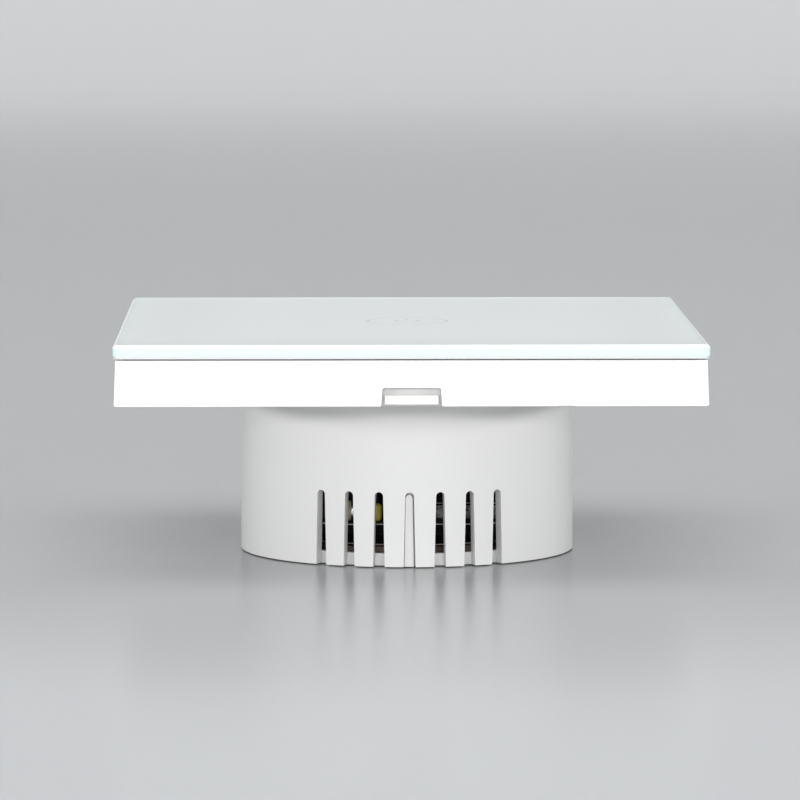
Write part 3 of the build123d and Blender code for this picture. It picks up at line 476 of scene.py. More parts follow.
print_paint, print_tree, print_shader = new_material("white ceramic print")
print_colour = mixed(print_tree, mark_mask(print_tree), print_white, mark_grey)
print_tree.links.new(print_colour, print_shader.inputs["Base Color"])
print_shader.inputs["Roughness"].default_value = print_roughness
print_section = [(print_inset, print_bottom), (print_inset, print_top)]
print_rings = outline_rings(glass_half, glass_corner, print_section)
stacked(print_rings, "glass_back_print", print_paint, "clear_glass", "front_panel")

# Tape: a square ring of dark grey foam tape between the frame and the printed glass, set back
# from the edge. Its dark grey is partly the tape's own colour and partly painted shade for the
# thin dark line that shows all round under the glass.
tape_low, tape_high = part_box("glass_tape")
tape_band = 12.0 * mm
tape_corner = 0.3 * mm
tape_gap = 0.004 * mm
tape_grey_and_gap_shade = (0.15, 0.148, 0.145)
broad_share = 0.6
broad_detail = 3.0
noise_mean = 0.5
relief_strength = 0.5


def surface_grain():
    """The node group for moulded and coated surfaces. Two noises on Object coordinates, one broad
    and one fine, vary the colour and the roughness, and the fine one gives the height."""
    group = bpy.data.node_groups.new("surface grain", "ShaderNodeTree")
    for way, names in (
        ("INPUT", ("Colour", "Variation", "Roughness", "Spread", "Broad Scale", "Fine Scale")),
        ("OUTPUT", ("Colour", "Roughness", "Height")),
    ):
        for name in names:
            kind = "NodeSocketColor" if name == "Colour" else "NodeSocketFloat"
            group.interface.new_socket(name=name, in_out=way, socket_type=kind)
    entry = group.nodes.new("NodeGroupInput").outputs
    leave = group.nodes.new("NodeGroupOutput").inputs
    broad = noise_on(group, entry["Broad Scale"], broad_detail)
    fine = noise_on(group, entry["Fine Scale"])
    broad_part = maths(group, "MULTIPLY", broad, broad_share)
    blend = maths(group, "MULTIPLY_ADD", fine, 1 - broad_share, broad_part)
    centred = maths(group, "SUBTRACT", blend, noise_mean)
    lift = maths(group, "MULTIPLY_ADD", centred, entry["Variation"], 1.0)
    rough = maths(group, "MULTIPLY_ADD", centred, entry["Spread"], entry["Roughness"], clamp=True)
    group.links.new(scaled(group, entry["Colour"], lift), leave["Colour"])
    group.links.new(rough, leave["Roughness"])
    group.links.new(fine, leave["Height"])
    return group


grain_group = surface_grain()


def grained(
    name,
    colour,
    roughness,
    variation=0.1,
    spread=0.12,
    broad=90.0,
    fine=4500.0,
    depth=0.01 * mm,
    metal=0.0,
    shine=0.5,
):
    """A finish with grain: colour, roughness and a fine relief from the grain group. The colour is
    three numbers, or a function that makes it in the material's own node tree."""
    material, tree, shader = new_material(name)
    grain = tree.nodes.new("ShaderNodeGroup")
    grain.node_tree = grain_group
    bump = tree.nodes.new("ShaderNodeBump")
    for node, socket_name, value in (
        (grain, "Colour", colour(tree) if callable(colour) else colour),
        (grain, "Variation", variation),
        (grain, "Roughness", roughness),
        (grain, "Spread", spread),
        (grain, "Broad Scale", broad),
        (grain, "Fine Scale", fine),
        (bump, "Height", grain.outputs["Height"]),
        (bump, "Distance", depth),
        (bump, "Strength", relief_strength),
        (shader, "Base Color", grain.outputs["Colour"]),
        (shader, "Roughness", grain.outputs["Roughness"]),
        (shader, "Normal", bump.outputs["Normal"]),
        (shader, "Metallic", metal),
        (shader, "Specular IOR Level", shine),
    ):
        feed(tree, node.inputs[socket_name], value)
    return material


tape_foam = grained("grey foam tape", tape_grey_and_gap_shade, roughness=0.85, variation=0.3, fine=9000.0)
tape_outer = tape_high.x
tape_inner = tape_outer - tape_band
tape_top = print_bottom - tape_gap
tape_bottom = tape_low.z + tape_gap
tape_rings = [
    points_of(*rounded_outline(half, tape_corner).T, height)
    for half, height in (
        (tape_outer, tape_bottom),
        (tape_outer, tape_top),
        (tape_inner, tape_top),
        (tape_inner, tape_bottom),
    )
]
stacked(tape_rings, "foam_tape", tape_foam, "grey_tape", "front_panel", "glass_tape", closed=True)

# Front frame: a glossy white cap moulded in one piece, with a drafted skirt, ribs and pegs on its
# inside and the pry notch in its front edge. The moulder's edges are eased by a tenth or two, and
# a faint grey mark is painted at the foot of the front face.
frame_white = (0.9, 0.9, 0.885)
frame_edge = 0.14 * mm
foot_mark_x = 22.3 * mm
foot_mark_half_width = 1.6 * mm
foot_mark_height = 0.45 * mm
foot_mark_blur = 0.5 * mm
foot_mark_grey = (0.52, 0.515, 0.5)
merge_distance = 0.001 * mm
flat_angle = math.radians(0.6)


def ease_edges(piece, edge):
    """A bevel of a width over every edge past the crease."""
    bevel = piece.modifiers.new("eased edges", "BEVEL")
    bevel.width = edge
    bevel.segments = 2
    bevel.limit_method = "ANGLE"
    bevel.angle_limit = crease_angle
    bevel.harden_normals = True


def moulded_copy(node, name, material, edge, slot_name, body_name="base"):
    """A copy of a CAD node with its triangles merged, its flat faces made whole again and its
    sharp edges eased by a bevel of the edge's width."""
    work = bmesh.new()
    work.from_mesh(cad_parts[node].data)
    bmesh.ops.remove_doubles(work, verts=work.verts, dist=merge_distance)
    bmesh.ops.dissolve_limit(
        work, angle_limit=flat_angle, verts=work.verts, edges=work.edges, delimit=set()
    )
    mesh = bpy.data.meshes.new(name)
    work.to_mesh(mesh)
    work.free()
    for attribute in [a for a in mesh.attributes if a.name == "custom_normal"]:
        mesh.attributes.remove(attribute)
    mesh.materials.clear()
    piece = put_piece(name, mesh, material)
    if edge:
        ease_edges(piece, edge)
    return fitted(piece, slot_name, body_name, node)


def frame_colour(tree):
    """White, with a faint grey mark painted where X is near its middle and the height near the frame's
    foot.
    """
    x, y, z = object_axes(tree)
    near = inside(tree, off_from(tree, x, foot_mark_x), foot_mark_half_width, foot_mark_blur)
    low = inside(tree, off_from(tree, z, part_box("front_frame")[0].z), foot_mark_height, foot_mark_blur)
    front = maths(tree, "LESS_THAN", y, 0)
    mark = maths(tree, "MULTIPLY", maths(tree, "MULTIPLY", near, low), front)
    return mixed(tree, mark, frame_white, foot_mark_grey)


frame_plastic = grained(
    "glossy white plastic", frame_colour, roughness=0.32, variation=0.02, spread=0.08, depth=0.004 * mm
)
moulded_copy("front_frame", "frame_cap", frame_plastic, frame_edge, "white_frame", "front_panel")

# Light guide: a turned ring of milky plastic between the lamps and the ring on the glass, held
# under the frame by its flange.
guide_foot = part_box("light_guide")[0].z
guide_inner = 4.6 * mm
guide_outer = 7.5 * mm
guide_flange = 10.0 * mm
guide_flange_thick = 0.8 * mm
guide_gap = 0.01 * mm
guide_edge = 0.15 * mm
guide_milk = (0.8, 0.82, 0.82)
guide_plastic = grained("milky plastic", guide_milk, roughness=0.35, variation=0.03)
guide_top = print_bottom - guide_gap
guide_profile = eased(
    [
        (guide_inner, guide_foot),
        (guide_flange, guide_foot),
        (guide_flange, guide_foot + guide_flange_thick),
        (guide_outer, guide_foot + guide_flange_thick),
        (guide_outer, guide_top),
        (guide_inner, guide_top),
    ],
    guide_edge,
    closed=True,
)
guide_place = ("milky_plastic", "front_panel", "light_guide")
stacked(turned_rings(guide_profile), "light_ring", guide_plastic, *guide_place, closed=True)

# Touch spring: three turns of tinned round wire between the touch board and the back of the
# print. It is the electrode that feels the finger through the glass.
spring_low, spring_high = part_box("touch_spring")
spring_wire_radius = 0.23 * mm
spring_radius = 2.5 * mm
spring_turns = 3
spring_flat_share = 0.25
spring_gap = 0.06 * mm
spring_steps = 60
spring_metal_colour = (0.78, 0.72, 0.58)


def wire(path, radius, name, material, *place, sides=10):
    """A round wire along a path: at each point of the path a circle stands across its direction,
    turned about by the direction's own cross products with the upright axis. Both ends are capped."""
    path = np.asarray(path, float)
    ahead = np.gradient(path, axis=0)
    ahead /= np.linalg.norm(ahead, axis=1, keepdims=True)
    side_way = np.cross(ahead, (0, 0, 1.0))
    side_way /= np.linalg.norm(side_way, axis=1, keepdims=True)
    up_way = np.cross(side_way, ahead)
    ring = radius * unit_circle(sides)
    rings = path[:, None] + ring[:, :1] * side_way[:, None] + ring[:, 1:] * up_way[:, None]
    return stacked(rings[:, ::-1], name, material, *place)


spring_metal = grained(
    "tinned spring wire", spring_metal_colour, roughness=0.28, fine=7000.0, metal=1.0
)
turn_share = np.linspace(0, 1, spring_steps * spring_turns)
spring_rise = np.clip((turn_share - spring_flat_share / 4) / (1 - spring_flat_share / 2), 0, 1)
spring_angle = 2 * math.pi * spring_turns * turn_share
spring_foot = spring_low.z + spring_wire_radius
spring_span = spring_high.z - spring_gap - spring_low.z - 2 * spring_wire_radius
spring_x = spring_radius * np.cos(spring_angle)
spring_y = spring_radius * np.sin(spring_angle)
spring_path = points_of(spring_x, spring_y, spring_foot + spring_span * spring_rise)
spring_place = ("spring_brass", "base", "touch_spring")
wire(spring_path, spring_wire_radius, "spring_coil", spring_metal, *spring_place)

# Mounting plate: white moulding behind the frame, with its rim, the sockets for the frame's pegs
# and the slots for the wall box's screws. Its tab shows in the pry notch.
# Painted shade: the plate is a darker white than its tab, for the shade seen behind the pry notch.
plate_white_painted_shade = (0.62, 0.61, 0.6)
tab_white = (0.84, 0.84, 0.83)
plate_edge = 0.12 * mm
tab_depth = 0.1 * mm
tab_from_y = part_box("mounting_plate")[0].y + tab_depth


def plate_colour_painted_shade(tree):
    """Satin white painted darker as shade on all but the tab, and brighter on the tab, which lies in
    front of the frame's inner face.
    """
    y = object_axes(tree)[1]
    return mixed(tree, maths(tree, "LESS_THAN", y, tab_from_y), plate_white_painted_shade, tab_white)


plate_plastic = grained("satin white plastic", plate_colour_painted_shade, roughness=0.45, variation=0.03)
moulded_copy("mounting_plate", "plate_moulding", plate_plastic, plate_edge, "white_plate")

# Clip springs: bowed strips of spring steel, blued a little by their hardening. They sit in the
# plate's sockets and hold the frame's pegs.
strip_steel_colour = (0.5, 0.51, 0.53)
thin_edge = 0.04 * mm
strip_steel = grained(
    "spring steel", strip_steel_colour, roughness=0.3, variation=0.15, fine=6000.0, metal=1.0
)
moulded_copy("clip_springs", "clip_strips", strip_steel, thin_edge, "spring_steel")

# Touch board: fibreglass under green solder mask, with copper tracks that show as faint paler
# lines, and the pale brown of the cut glass at its edge.
board_low, board_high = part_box("touch_board")
mask_green = (0.02, 0.16, 0.07)
track_green = (0.045, 0.25, 0.11)
board_cut = (0.55, 0.5, 0.3)
track_pitch = 1.9 * mm
track_width_share = 0.3
track_cell = 7.5 * mm
along_x_share = 0.5
bare_cells_share = 0.35
cut_margin = 0.02 * mm
# Painted highlight: a thin pale line along the top of each board's cut edge.
top_edge_highlight_line = 0.14 * mm
top_edge_highlight_grey = (0.5, 0.5, 0.48)


def board_colour(low, high, mask, track, cut):
    """The colour of a circuit board. Tracks run along X in some cells and along Y in others, as a
    noise says, in even lines. The cut edge shows between the two coated faces, with a thin pale
    line painted under the upper one as a highlight."""

    def build(tree):
        axes = object_axes(tree)
        lines = []
        for index in (0, 1):
            steps = maths(tree, "DIVIDE", axes[index], track_pitch)
            lines.append(maths(tree, "LESS_THAN", maths(tree, "FRACT", steps), track_width_share))
        cells = tree.nodes.new("ShaderNodeTexVoronoi")
        cells.distance = "CHEBYCHEV"
        cells.inputs["Scale"].default_value = 1 / track_cell
        place = tree.nodes.new("ShaderNodeTexCoord")
        tree.links.new(place.outputs["Object"], cells.inputs["Vector"])
        pick = tree.nodes.new("ShaderNodeSeparateColor")
        tree.links.new(cells.outputs["Color"], pick.inputs[0])
        way = maths(tree, "GREATER_THAN", pick.outputs[0], along_x_share)
        used = maths(tree, "GREATER_THAN", pick.outputs[1], bare_cells_share)
        first = maths(tree, "MULTIPLY", lines[0], way)
        second = maths(tree, "MULTIPLY", lines[1], maths(tree, "SUBTRACT", 1.0, way))
        tracks = maths(tree, "MULTIPLY", maths(tree, "ADD", first, second, clamp=True), used)
        faces = mixed(tree, tracks, mask, track)
        above = maths(tree, "GREATER_THAN", axes[2], low + cut_margin)
        below = maths(tree, "LESS_THAN", axes[2], high - cut_margin)
        top_edge_highlight = maths(tree, "GREATER_THAN", axes[2], high - top_edge_highlight_line)
        edge = mixed(tree, top_edge_highlight, cut, top_edge_highlight_grey)
        return mixed(tree, maths(tree, "MULTIPLY", above, below), faces, edge)

    return build


touch_board_finish = grained(
    "green solder mask",
    board_colour(board_low.z, board_high.z, mask_green, track_green, board_cut),
    roughness=0.35,
    variation=0.08,
)
moulded_copy("touch_board", "touch_circuit_board", touch_board_finish, 0, "board_green")

# Small parts on the touch board: ceramic chips with tinned ends, placed by machine and soldered
# round the touch chip.
chip_part_length = 1.6 * mm
chip_part_width = 0.8 * mm
chip_part_height = 0.5 * mm
chip_end_share = 0.25
chip_body_share = 0.94
chip_solder = 0.02 * mm
chip_part_x = (14.5, 14.5, 14.5, 4.5, -13.0, -13.0, -15.0, 12.5, 9.0, 10.5)
chip_part_y = (9.0, 12.0, 5.5, 12.5, 12.0, 8.5, -9.0, -12.0, -12.0, -4.5)
part_edge = 0.05 * mm
soft_edge = 0.08 * mm
ceramic_dark = (0.035, 0.035, 0.04)
tinned_end = (0.72, 0.72, 0.7)
corner_signs = np.array([(x, y, z) for z in (-1, 1) for y in (-1, 1) for x in (-1, 1)], float)
box_faces = np.array(
    [(0, 2, 3, 1), (4, 5, 7, 6), (0, 1, 5, 4), (1, 3, 7, 5), (3, 2, 6, 7), (2, 0, 4, 6)]
)


def boxes(centres, size, name, material, edge, slot_name):
    """Many boxes of one size in one piece: half the size times the signs of the eight corners,
    added to each centre. Their edges are eased by a bevel."""
    points = centres[:, None] + corner_signs * np.asarray(size) / 2
    faces = box_faces + len(corner_signs) * np.arange(len(centres))[:, None, None]
    piece = put_mesh(name, points, faces.reshape(-1, 4).tolist(), material)
    ease_edges(piece, edge)
    fitted(piece, slot_name)


end_length = chip_part_length * chip_end_share
body_size = np.array([chip_part_length - 2 * end_length, chip_part_width, chip_part_height])
body_size[1:] *= chip_body_share
spot_x, spot_y = np.array([chip_part_x, chip_part_y]) * mm
body_centres = points_of(spot_x, spot_y, board_high.z + chip_part_height / 2 + chip_solder)
end_shift = np.array([(chip_part_length - end_length) / 2, 0, 0])
end_centres = np.concatenate([body_centres - end_shift, body_centres + end_shift])
end_size = (end_length, chip_part_width, chip_part_height)
ceramic = grained("dark ceramic", ceramic_dark, roughness=0.4)
tinned = grained("tinned ends", tinned_end, roughness=0.25, metal=1.0)
boxes(body_centres, body_size, "small_part_bodies", ceramic, part_edge, "chip_black")
boxes(end_centres, end_size, "small_part_ends", tinned, soft_edge, "zinc_steel")

# Chips: the touch chip on the front board, and the rectifier and supply chip under the power
# board, moulded in black epoxy with a dull face.
epoxy_black = (0.022, 0.022, 0.024)
epoxy = grained("black epoxy", epoxy_black, roughness=0.55, variation=0.15, fine=6000.0, shine=0.25)
for chip_node in ("touch_chip", "bridge_rectifier", "supply_chip"):
    moulded_copy(chip_node, chip_node + "_body", epoxy, part_edge, "chip_black")

# Indicator lamps: four small blocks of resin, milky yellow with their dye, soldered to the touch
# board under the light guide.
lamp_yellow = (0.85, 0.78, 0.45)
lamp_resin = grained("dyed clear resin", lamp_yellow, roughness=0.2, variation=0.05)
moulded_copy("indicator_lamps", "ring_lamps", lamp_resin, soft_edge, "lamp_resin")

# Header between the boards: black strips on square gilt pins, with the socket under the front
# board.
header_black = (0.02, 0.02, 0.021)
gilt = (0.9, 0.68, 0.32)
header_plastic = grained("black nylon", header_black, roughness=0.5, variation=0.15)
gilt_brass = grained("gilt brass", gilt, roughness=0.25, variation=0.08, metal=1.0)
for header_node, finish, slot_name in (
    ("board_socket", header_plastic, "socket_black"),
    ("header_strips", header_plastic, "socket_black"),
    ("header_pins", gilt_brass, "pin_brass"),
):
    moulded_copy(header_node, header_node + "_piece", finish, thin_edge, slot_name)

# Round housing: the vented drum, moulded in matt white with a fine spark-eroded skin. Its slots
# and driver holes keep the mould's crisp edges.
housing_white = (0.645, 0.645, 0.64)
drum_agreement = math.cos(math.radians(7))
least_radius = 1e-9


def turned_normals(mesh, agreement):
    """Corner normals of true cylinders about the upright axis. Where a face looks along the
    radius at its corner, the corner takes that radius, outwards or inwards; elsewhere it keeps the
    face's own normal."""
    corner_vertex = np.zeros(len(mesh.loops), np.int32)
    mesh.loops.foreach_get("vertex_index", corner_vertex)
    points = np.zeros(3 * len(mesh.vertices), np.float32)
    mesh.vertices.foreach_get("co", points)
    normals = np.zeros(3 * len(mesh.polygons), np.float32)
    mesh.polygons.foreach_get("normal", normals)
    totals = np.zeros(len(mesh.polygons), np.int32)
    mesh.polygons.foreach_get("loop_total", totals)
    face_normal = np.repeat(normals.reshape(-1, 3), totals, axis=0)
    radial = points.reshape(-1, 3)[corner_vertex] * (1, 1, 0)
    radial /= np.maximum(np.linalg.norm(radial, axis=1, keepdims=True), least_radius)
    along_radius = (radial * face_normal).sum(axis=1, keepdims=True)
    chosen = np.where(along_radius > agreement, radial, face_normal)
    chosen = np.where(along_radius < -agreement, -radial, chosen)
    mesh.normals_split_custom_set(chosen.tolist())


housing_plastic = grained(
    "matt white housing plastic",
    housing_white,
    roughness=0.5,
    variation=0.04,
    fine=5200.0,
    depth=0.012 * mm,
)
housing = moulded_copy("round_housing", "vented_drum", housing_plastic, 0, "white_housing")
turned_normals(housing.data, drum_agreement)

# Back cover: the round white disc with the wire entries, the wells of its two screws, the collar
# for the foot of the terminal block and the key that closes the middle slot.
cover_white = (0.7, 0.7, 0.695)
cover_plastic = grained(
    "matt white cover plastic", cover_white, roughness=0.5, variation=0.04, fine=5200.0
)
cover = moulded_copy("back_cover", "keyed_cover", cover_plastic, 0, "white_cover")
turned_normals(cover.data, drum_agreement)

# Power board: paper board that carries the relay and the tall parts, painted a dark brown that is
# partly its own colour and partly the shade inside the drum. Its cut edge is painted nearly black
# as shade, with a thin pale line of painted highlight along its top.
power_low, power_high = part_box("power_board")
power_brown_and_painted_shade = (0.06, 0.042, 0.022)
power_track = (0.11, 0.08, 0.045)
power_cut_painted_shade = (0.005, 0.005, 0.005)
power_board_finish = grained(
    "brown paper board",
    board_colour(power_low.z, power_high.z, power_brown_and_painted_shade, power_track, power_cut_painted_shade),
    roughness=0.55,
    variation=0.12,
    shine=0.04,
)
moulded_copy("power_board", "power_circuit_board", power_board_finish, 0, "board_tan")

# Under the power board: a black card stands along the board's front from its underside down to
# a pale line at its foot, and a tinned copper strip stands on the cover's floor before it. Both
# are guessed from the black band and the brown one low behind the vents. The black card is
# painted shade for the dark space under the board, and the pale line at its foot a painted highlight.
apron_radius = 20.1 * mm
apron_half_angle = math.radians(46)
apron_thick = 0.3 * mm
apron_low = 2.62 * mm
apron_steps = 48
apron_black_painted_shade = (0.004, 0.004, 0.004)
apron_foot_painted_highlight = (0.36, 0.35, 0.33)
apron_foot_highlight_line = 0.13 * mm
strip_radius = 20.9 * mm
strip_low = 1.5 * mm
strip_high = 2.45 * mm
strip_brown = (0.15, 0.115, 0.09)
card_gap = 0.02 * mm


def arc_band(radius, low, high, thick, name, material, slot_name, half_angle=apron_half_angle):
    """An upright band along an arc about the axis, centred on -Y: inner and outer walls, one
    thickness apart, from low to high, with closed ends."""
    angle = np.linspace(-half_angle, half_angle, apron_steps)[:, None] - math.pi / 2
    radii = np.array([radius, radius, radius - thick, radius - thick])
    points = points_of(radii * np.cos(angle), radii * np.sin(angle), (low, high, high, low))
    return stacked(points, name, material, slot_name)


def apron_colour_painted_light(tree):
    """Black as painted shade, with a pale line along the card's foot as a painted highlight."""
    z = object_axes(tree)[2]
    return mixed(tree, maths(tree, "LESS_THAN", z, apron_low + apron_foot_highlight_line), apron_black_painted_shade, apron_foot_painted_highlight)


apron_card = grained("black card", apron_colour_painted_light, roughness=0.7, variation=0.2, shine=0.02)
apron_high = power_low.z - card_gap
arc_band(
    apron_radius, apron_low, apron_high, apron_thick, "dark_shade_card", apron_card, "chip_black"
)
strip_copper = grained(
    "tinned copper strip", strip_brown, roughness=0.35, variation=9.0, broad=330.0, fine=5000.0, metal=0.5
)
arc_band(
    strip_radius, strip_low, strip_high, apron_thick, "copper_strip", strip_copper, "leaf_copper"
)

# Flange behind the key: a white strip inside the drum that closes the view past the cover's key,
# as the pale groove round the key in the photo says.
flange_radius = 23.6 * mm
flange_low = 1.2 * mm
flange_high = 12.2 * mm
flange_half_angle = math.radians(3.2)
arc_band(
    flange_radius,
    flange_low,
    flange_high,
    apron_thick,
    "key_flange",
    cover_plastic,
    "white_cover",
    flange_half_angle,
)

# Terminals: a black heat-proof block with three chambers, brass bars folded over its wall, steel
# cages that rise on their slotted screws and clamp the wire against the bar.
block_black = (0.014, 0.014, 0.015)
bar_brass_colour = (0.86, 0.62, 0.3)
cage_steel_colour = (0.62, 0.62, 0.6)
zinc_colour = (0.7, 0.71, 0.72)
sheet_edge = 0.06 * mm
block_plastic = grained(
    "black heat-proof plastic", block_black, roughness=0.5, variation=0.2, shine=0.12
)
bar_brass = grained("rolled brass", bar_brass_colour, roughness=0.3, variation=0.12, metal=1.0)
cage_steel = grained("folded steel", cage_steel_colour, roughness=0.38, variation=0.12, metal=1.0)
zinc_plate = grained("bright zinc", zinc_colour, roughness=0.27, variation=0.12, metal=1.0)
moulded_copy("terminal_block", "terminal_housing", block_plastic, soft_edge, "terminal_black")
moulded_copy("contact_bars", "folded_bars", bar_brass, part_edge, "bar_brass")
for number in (1, 2, 3):
    for node, name, finish, slot_name, body in (
        ("terminal_screw", "clamp_screw", zinc_plate, "zinc_steel", "screw"),
        ("clamp_cage", "lift_cage", cage_steel, "cage_steel", "cage"),
    ):
        moulded_copy(
            f"{node}_{number}", f"{name}_{number}", finish, sheet_edge, slot_name, f"{body}_{number}"
        )

# Screws: zinc-plated, with cross recesses. Two countersunk ones hold the plate to the drum, two
# small ones the front board, and two long ones the back cover.
cross_width_share = 0.2
cross_reach_share = 0.62
cross_depth_share = 0.45
cross_wall_share = 0.1
cross_hub_share = 0.02
cross_rows = 20
face_share = 0.97
tip_share = 0.5
boss_ring = 20.8 * mm
half_spacing = 19.0 * mm
sunk_seat = 26.0 * mm
sunk_length = 8.2 * mm
sunk_shank = 1.25 * mm
sunk_head = 2.3 * mm
sunk_height = 1.1 * mm
sunk_rim = 0.1 * mm
pan_shank = 1.0 * mm
pan_head = 1.9 * mm
pan_height = 0.9 * mm
pan_foot = 0.12 * mm
pan_dome = 0.2 * mm
board_screw_length = 2.9 * mm
cover_seat = 1.7 * mm
cover_screw_length = 14.0 * mm


def cross_head(outer_radius, height, dome, steps=96):
    """The face of a screw head. The height over each point of a polar grid is the dome's, less the
    depth of the cross wherever the point is within the cross's half width of either arm and within
    its reach, with walls that slope in over a share of the radius."""
    reach = np.linspace(1, cross_hub_share, cross_rows)[:, None]
    flat = reach[..., None] * unit_circle(steps)
    arm = np.abs(flat).min(axis=-1)
    depth = np.clip((cross_width_share / 2 + cross_wall_share - arm) / cross_wall_share, 0, 1)
    depth = depth * np.clip((cross_reach_share + cross_wall_share - reach) / cross_wall_share, 0, 1)
    z = height + dome * (1 - reach**2) - cross_depth_share * outer_radius * depth
    return points_of(outer_radius * flat[..., 0], outer_radius * flat[..., 1], z)


def cross_screws(node, name, place, seat, length, sunk, faces_down):
    """A pair of screws in one piece, at a place and across the axis from it. Each is a stack of
    rings: tip, shank, head and the face with its cross. A head that faces down is the same stack
    turned over about the X axis."""
    shank, head, height, dome = (pan_shank, pan_head, pan_height, pan_dome)
    if sunk:
        shank, head, height, dome = (sunk_shank, sunk_head, sunk_height, 0)
    profile = [
        (tip_share * shank, -length),
        (shank, -length + tip_share * shank),
        (shank, 0),
        (shank if sunk else head, 0),
        (head, height - sunk_rim if sunk else pan_foot),
        (head, height),
    ]
    rings = np.concatenate([turned_rings(profile), cross_head(head * face_share, height, dome)])
    if faces_down:
        rings = rings * (1, -1, -1)
    rows, columns = rings.shape[:2]
    points = np.stack([rings + (side * place[0], side * place[1], seat) for side in (-1, 1)])
    faces = stack_faces(rows, columns) + stack_faces(rows, columns, first=rows * columns)
    fitted(put_mesh(name, points, faces, zinc_plate), "zinc_steel", "base", node)


board_place = (half_spacing, half_spacing)
for node, name, place, seat, length, sunk, faces_down in (
    ("housing_screws", "countersunk_screws", (0, boss_ring), sunk_seat, sunk_length, True, False),
    ("board_screws", "board_pan_screws", board_place, board_high.z, board_screw_length, False, False),
    ("cover_screws", "cover_pan_screws", (boss_ring, 0), cover_seat, cover_screw_length, False, True),
):
    cross_screws(node, name, place, seat, length, sunk, faces_down)

# Relay: a black case over its base, with a bead of textured grey resin round its foot, the coil
# of enamelled wire on its bobbin, the soft iron yoke and armature, and copper contacts.
case_black = (0.006, 0.006, 0.0065)
# Painted highlight: a pale line on the black case just under the top of its base.
seam_painted_highlight = (0.42, 0.42, 0.41)
seam_drop = 0.15 * mm
seam_half_width = 0.1 * mm
resin_grey = (0.42, 0.425, 0.43)
iron_colour = (0.56, 0.56, 0.55)
bobbin_colour = (0.75, 0.72, 0.6)
enamel_red = (0.55, 0.16, 0.05)
leaf_colour = (0.85, 0.5, 0.3)
bead_proud = 0.22 * mm
bead_low = 0.08 * mm
bead_high = 2.0 * mm
bead_round = 0.12 * mm
bead_overlap = 0.1 * mm
bead_corner = 0.4 * mm


def case_colour_with_painted_highlight(tree):
    """Black, with a pale line painted as a highlight along the seam where the case meets its base."""
    seam = off_from(tree, object_axes(tree)[2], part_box("relay_base")[1].z - seam_drop)
    return mixed(tree, inside(tree, seam, seam_half_width, line_blur), case_black, seam_painted_highlight)


case_plastic = grained("black relay plastic", case_colour_with_painted_highlight, roughness=0.3, shine=0.05)
resin_plastic = grained(
    "grey textured resin", resin_grey, roughness=0.6, variation=5.0, broad=1100.0, fine=3600.0, shine=0.2
)
soft_iron = grained("soft iron", iron_colour, roughness=0.4, variation=0.15, metal=1.0)
bobbin_plastic = grained("cream bobbin plastic", bobbin_colour, roughness=0.45, variation=0.05)
enamelled_copper = grained("enamelled copper", enamel_red, roughness=0.3, metal=0.6)
leaf_copper = grained("contact copper", leaf_colour, roughness=0.3, metal=1.0)
for relay_node, finish, slot_name, body_name in (
    ("relay_case", case_plastic, "relay_shell", "base"),
    ("relay_base", resin_plastic, "relay_resin", "base"),
    ("relay_yoke", soft_iron, "relay_iron", "base"),
    ("relay_armature", soft_iron, "relay_iron", "armature"),
    ("relay_bobbin", bobbin_plastic, "bobbin_plastic", "base"),
    ("contact_leaf", leaf_copper, "leaf_copper", "armature"),
    ("fixed_contacts", leaf_copper, "leaf_copper", "base"),
):
    moulded_copy(relay_node, relay_node + "_piece", finish, part_edge, slot_name, body_name)


def plan(node):
    """A CAD node's box: its lowest and highest heights, and in plan its half sizes and centre."""
    low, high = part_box(node)
    half = ((high.x - low.x) / 2, (high.y - low.y) / 2)
    return low.z, high.z, half, ((low.x + high.x) / 2, (low.y + high.y) / 2)


case_foot, _, case_half, case_centre = plan("relay_case")
bead_section = eased(
    [
        (bead_overlap, case_foot + bead_low),
        (-bead_proud, case_foot + bead_low),
        (-bead_proud, case_foot + bead_high),
        (bead_overlap, case_foot + bead_high),
    ],
    bead_round,
    closed=True,
)
bead_rings = outline_rings(case_half, bead_corner, bead_section, case_centre)
stacked(bead_rings, "relay_foot_bead", resin_plastic, "relay_resin", closed=True)

coil_foot, coil_top, (coil_outer, _), coil_centre = plan("relay_coil")
coil_wire = 0.24 * mm
coil_inner = 2.6 * mm
coil_steps = 8
coil_turns = int((coil_top - coil_foot) / coil_wire)
coil_z = np.linspace(coil_foot, coil_top, coil_steps * coil_turns + 1)
coil_share = (coil_z - coil_foot) / (coil_top - coil_foot)
coil_radius = coil_outer - coil_wire / 2 * (1 - np.abs(np.sin(math.pi * coil_turns * coil_share)))
coil_wound = points_of(coil_radius, coil_z)
coil_profile = np.concatenate([[(coil_inner, coil_foot)], coil_wound, [(coil_inner, coil_top)]])
coil_rings = turned_rings(coil_profile, coil_centre)
coil_place = ("coil_copper", "base", "relay_coil")
stacked(coil_rings, "wound_coil", enamelled_copper, *coil_place, closed=True)

# Parts that stand on the power board: a dark film capacitor, a small yellow dipped one, an
# electrolytic in its printed sleeve, the small transformer, a blue varistor and a fuse resistor.
film_dark = (0.008, 0.008, 0.009)
dip_yellow = (0.9, 0.76, 0.07)
dip_round = 0.62 * mm
dip_steps = 7
dip_corner_share = 1.02
film_edge = 0.25 * mm
core_edge = 0.1 * mm
lacquer_edge = 0.3 * mm
fuse_cap_length = 2.5 * mm
fuse_body_radius = 1.5 * mm
fuse_groove = 0.22 * mm
fuse_groove_depth = 0.2 * mm
fuse_grooves = 3
fuse_bore = 0.2 * mm
fuse_cap_wall = 0.3 * mm
fuse_cap_edge = 0.1 * mm
fuse_body_steps = 48
fuse_cap_steps = 64
sleeve_dark = (0.03, 0.035, 0.06)
sleeve_stripe = (0.55, 0.56, 0.58)
can_silver = (0.8, 0.8, 0.8)
ferrite_grey = (0.06, 0.06, 0.065)
